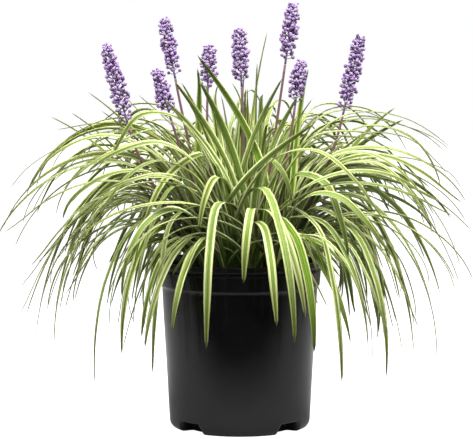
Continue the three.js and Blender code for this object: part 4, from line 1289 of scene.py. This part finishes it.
def make_floor():
    bpy.ops.mesh.primitive_plane_add(size=FLOOR_SIZE)
    floor = bpy.context.object
    floor.name = "studio_floor"
    material, tree, shader = new_material("pale_paper", Roughness=0.9)
    fibre = add_node(tree, "TexNoise", {"Scale": 40.0, "Detail": 4.0})[0]
    place = add_node(tree, "TexCoord")["Object"]
    depth = add_node(tree, "SeparateXYZ", {}, {0: place})["Y"]
    lit = add_node(
        tree, "MapRange", {"From Min": FLOOR_LIT[0], "From Max": FLOOR_LIT[1]}, {"Value": depth})[0]
    pale = add_node(tree, "Mix", {"data_type": "RGBA", 6: "#a4a4a3", 7: "#acacab"}, {0: fibre})[2]
    # Painted shade: the paper in front of the pot is painted near-black.
    colour = add_node(tree, "Mix", {"data_type": "RGBA", 6: "#0c0c0c"}, {0: lit, 7: pale})[2]
    tree.links.new(colour, shader.inputs["Base Color"])
    shader.inputs["Emission Color"].default_value = linear("#ffffff")
    ray = add_node(tree, "LightPath")["Is Camera Ray"]
    glow = add_node(tree, "Math", {"operation": "MULTIPLY", 1: FLOOR_GLOW}, {0: ray})[0]
    tree.links.new(glow, shader.inputs["Emission Strength"])
    floor.data.materials.append(material)


make_floor()
print("floor:", FLOOR_SIZE, "m wide")

# %% [markdown]
# ## The sky
#
# A studio's white walls light the plant evenly from all sides. A plain white sky does the same, but
# the black pot would then mirror white everywhere and look grey. So the sky has three strengths. As
# a lamp it is even. In what glossy faces mirror it is nearly black in front of the plant and pale
# behind it, which gives the pot its dark face and pale edges. The camera sees it as white.

# %% Hang the sky
SKY_LIGHT = 0.72  # the sky as a lamp
SKY_SHINE = (0.02, 0.5)  # what glossy faces mirror, in front of the plant and behind it
SKY_SHINE_DEPTHS = (-0.75, 0.25)  # from where to where it changes, as a direction's part along Y


def make_sky():
    world = bpy.data.worlds.new("studio_sky")
    bpy.context.scene.world = world
    world.use_nodes = True
    tree = world.node_tree
    ray = add_node(tree, "LightPath")
    way = add_node(tree, "TexCoord")["Generated"]
    depth = add_node(tree, "SeparateXYZ", {}, {0: way})["Y"]
    walls = add_node(
        tree, "MapRange",
        {"From Min": SKY_SHINE_DEPTHS[0], "From Max": SKY_SHINE_DEPTHS[1],
         "To Min": SKY_SHINE[0], "To Max": SKY_SHINE[1]},
        {"Value": depth})[0]
    light = add_node(
        tree, "Mix", {"data_type": "FLOAT", 2: SKY_LIGHT}, {0: ray["Is Glossy Ray"], 3: walls})[0]
    strength = add_node(
        tree, "Math", {"operation": "MAXIMUM"}, {0: ray["Is Camera Ray"], 1: light})[0]
    background = tree.nodes["Background"]
    tree.links.new(strength, background.inputs["Strength"])
    background.inputs["Color"].default_value = linear("#ffffff")


make_sky()
print("sky:", SKY_LIGHT, "as a lamp,", *SKY_SHINE, "in mirrors")

# %% [markdown]
# ## The lamps
#
# Two soft lamps high in front, one at each side, model the leaves and the buds. They don't show in
# the pot, where they would make two bright spots. Two large ones stand low beside the plant, a
# little behind it. They light the edges of the leaves, and the pot's wall mirrors them as its long
# pale edges.

# %% Set up the lamps
LAMP_AIM = (0, 0, 0.22)


def add_lamp(name, place, size, watts, spread, mirrored):
    """A rectangular lamp at a place, aimed at the middle of the plant."""
    lamp = bpy.data.lights.new(name, "AREA")
    lamp.energy = watts
    lamp.spread = math.radians(spread)
    lamp.shape = "RECTANGLE"
    lamp.size, lamp.size_y = size
    stand = bpy.data.objects.new(name, lamp)
    stand.location = place
    stand.rotation_euler = (Vector(LAMP_AIM) - Vector(place)).to_track_quat("-Z", "Y").to_euler()
    stand.visible_glossy = mirrored
    bpy.context.scene.collection.objects.link(stand)
    return stand


LAMPS = [
    add_lamp("left_front_lamp", (-0.5, -1.0, 1.9), (0.8, 0.6), 5, 50, False),
    add_lamp("right_front_lamp", (0.7, -0.7, 1.9), (0.9, 0.9), 6, 50, False),
    add_lamp("left_side_lamp", (-1.4, 0.3, 0.65), (0.9, 1.2), 5, 180, True),
    add_lamp("right_side_lamp", (1.4, 0.3, 0.65), (0.9, 1.2), 6, 180, True),
]
print("lamps:", *(lamp.name for lamp in LAMPS))

# %% [markdown]
# ## The camera
#
# The camera stands about two metres away, a little above the leaves, and looks slightly down. From
# so far, with a long lens, the near leaves don't look larger than the far ones, as in a catalogue
# picture. Colours are shown as they are, without the film-like curve that Blender uses as a start.

# %% Set up the camera
CAMERA_PLACE = (-3.4 * MM, -2065 * MM, 388 * MM)
CAMERA_DOWN = math.radians(4.8)
SENSOR_WIDTH = 36.0
FOCAL_PIXELS = 2005.0  # the focal length in pixels of the finished image
IMAGE_WIDTH = 473

camera_data = bpy.data.cameras.new("camera")
camera_data.sensor_fit = "HORIZONTAL"
camera_data.sensor_width = SENSOR_WIDTH
camera_data.lens = FOCAL_PIXELS / IMAGE_WIDTH * SENSOR_WIDTH
camera_data.clip_end = 50
camera = bpy.data.objects.new("camera", camera_data)
camera.location = CAMERA_PLACE
camera.rotation_euler = (math.pi / 2 - CAMERA_DOWN, 0, 0)
bpy.context.scene.collection.objects.link(camera)
bpy.context.scene.camera = camera
bpy.context.scene.view_settings.view_transform = "Standard"
print("lens", round(camera_data.lens, 1), "mm")
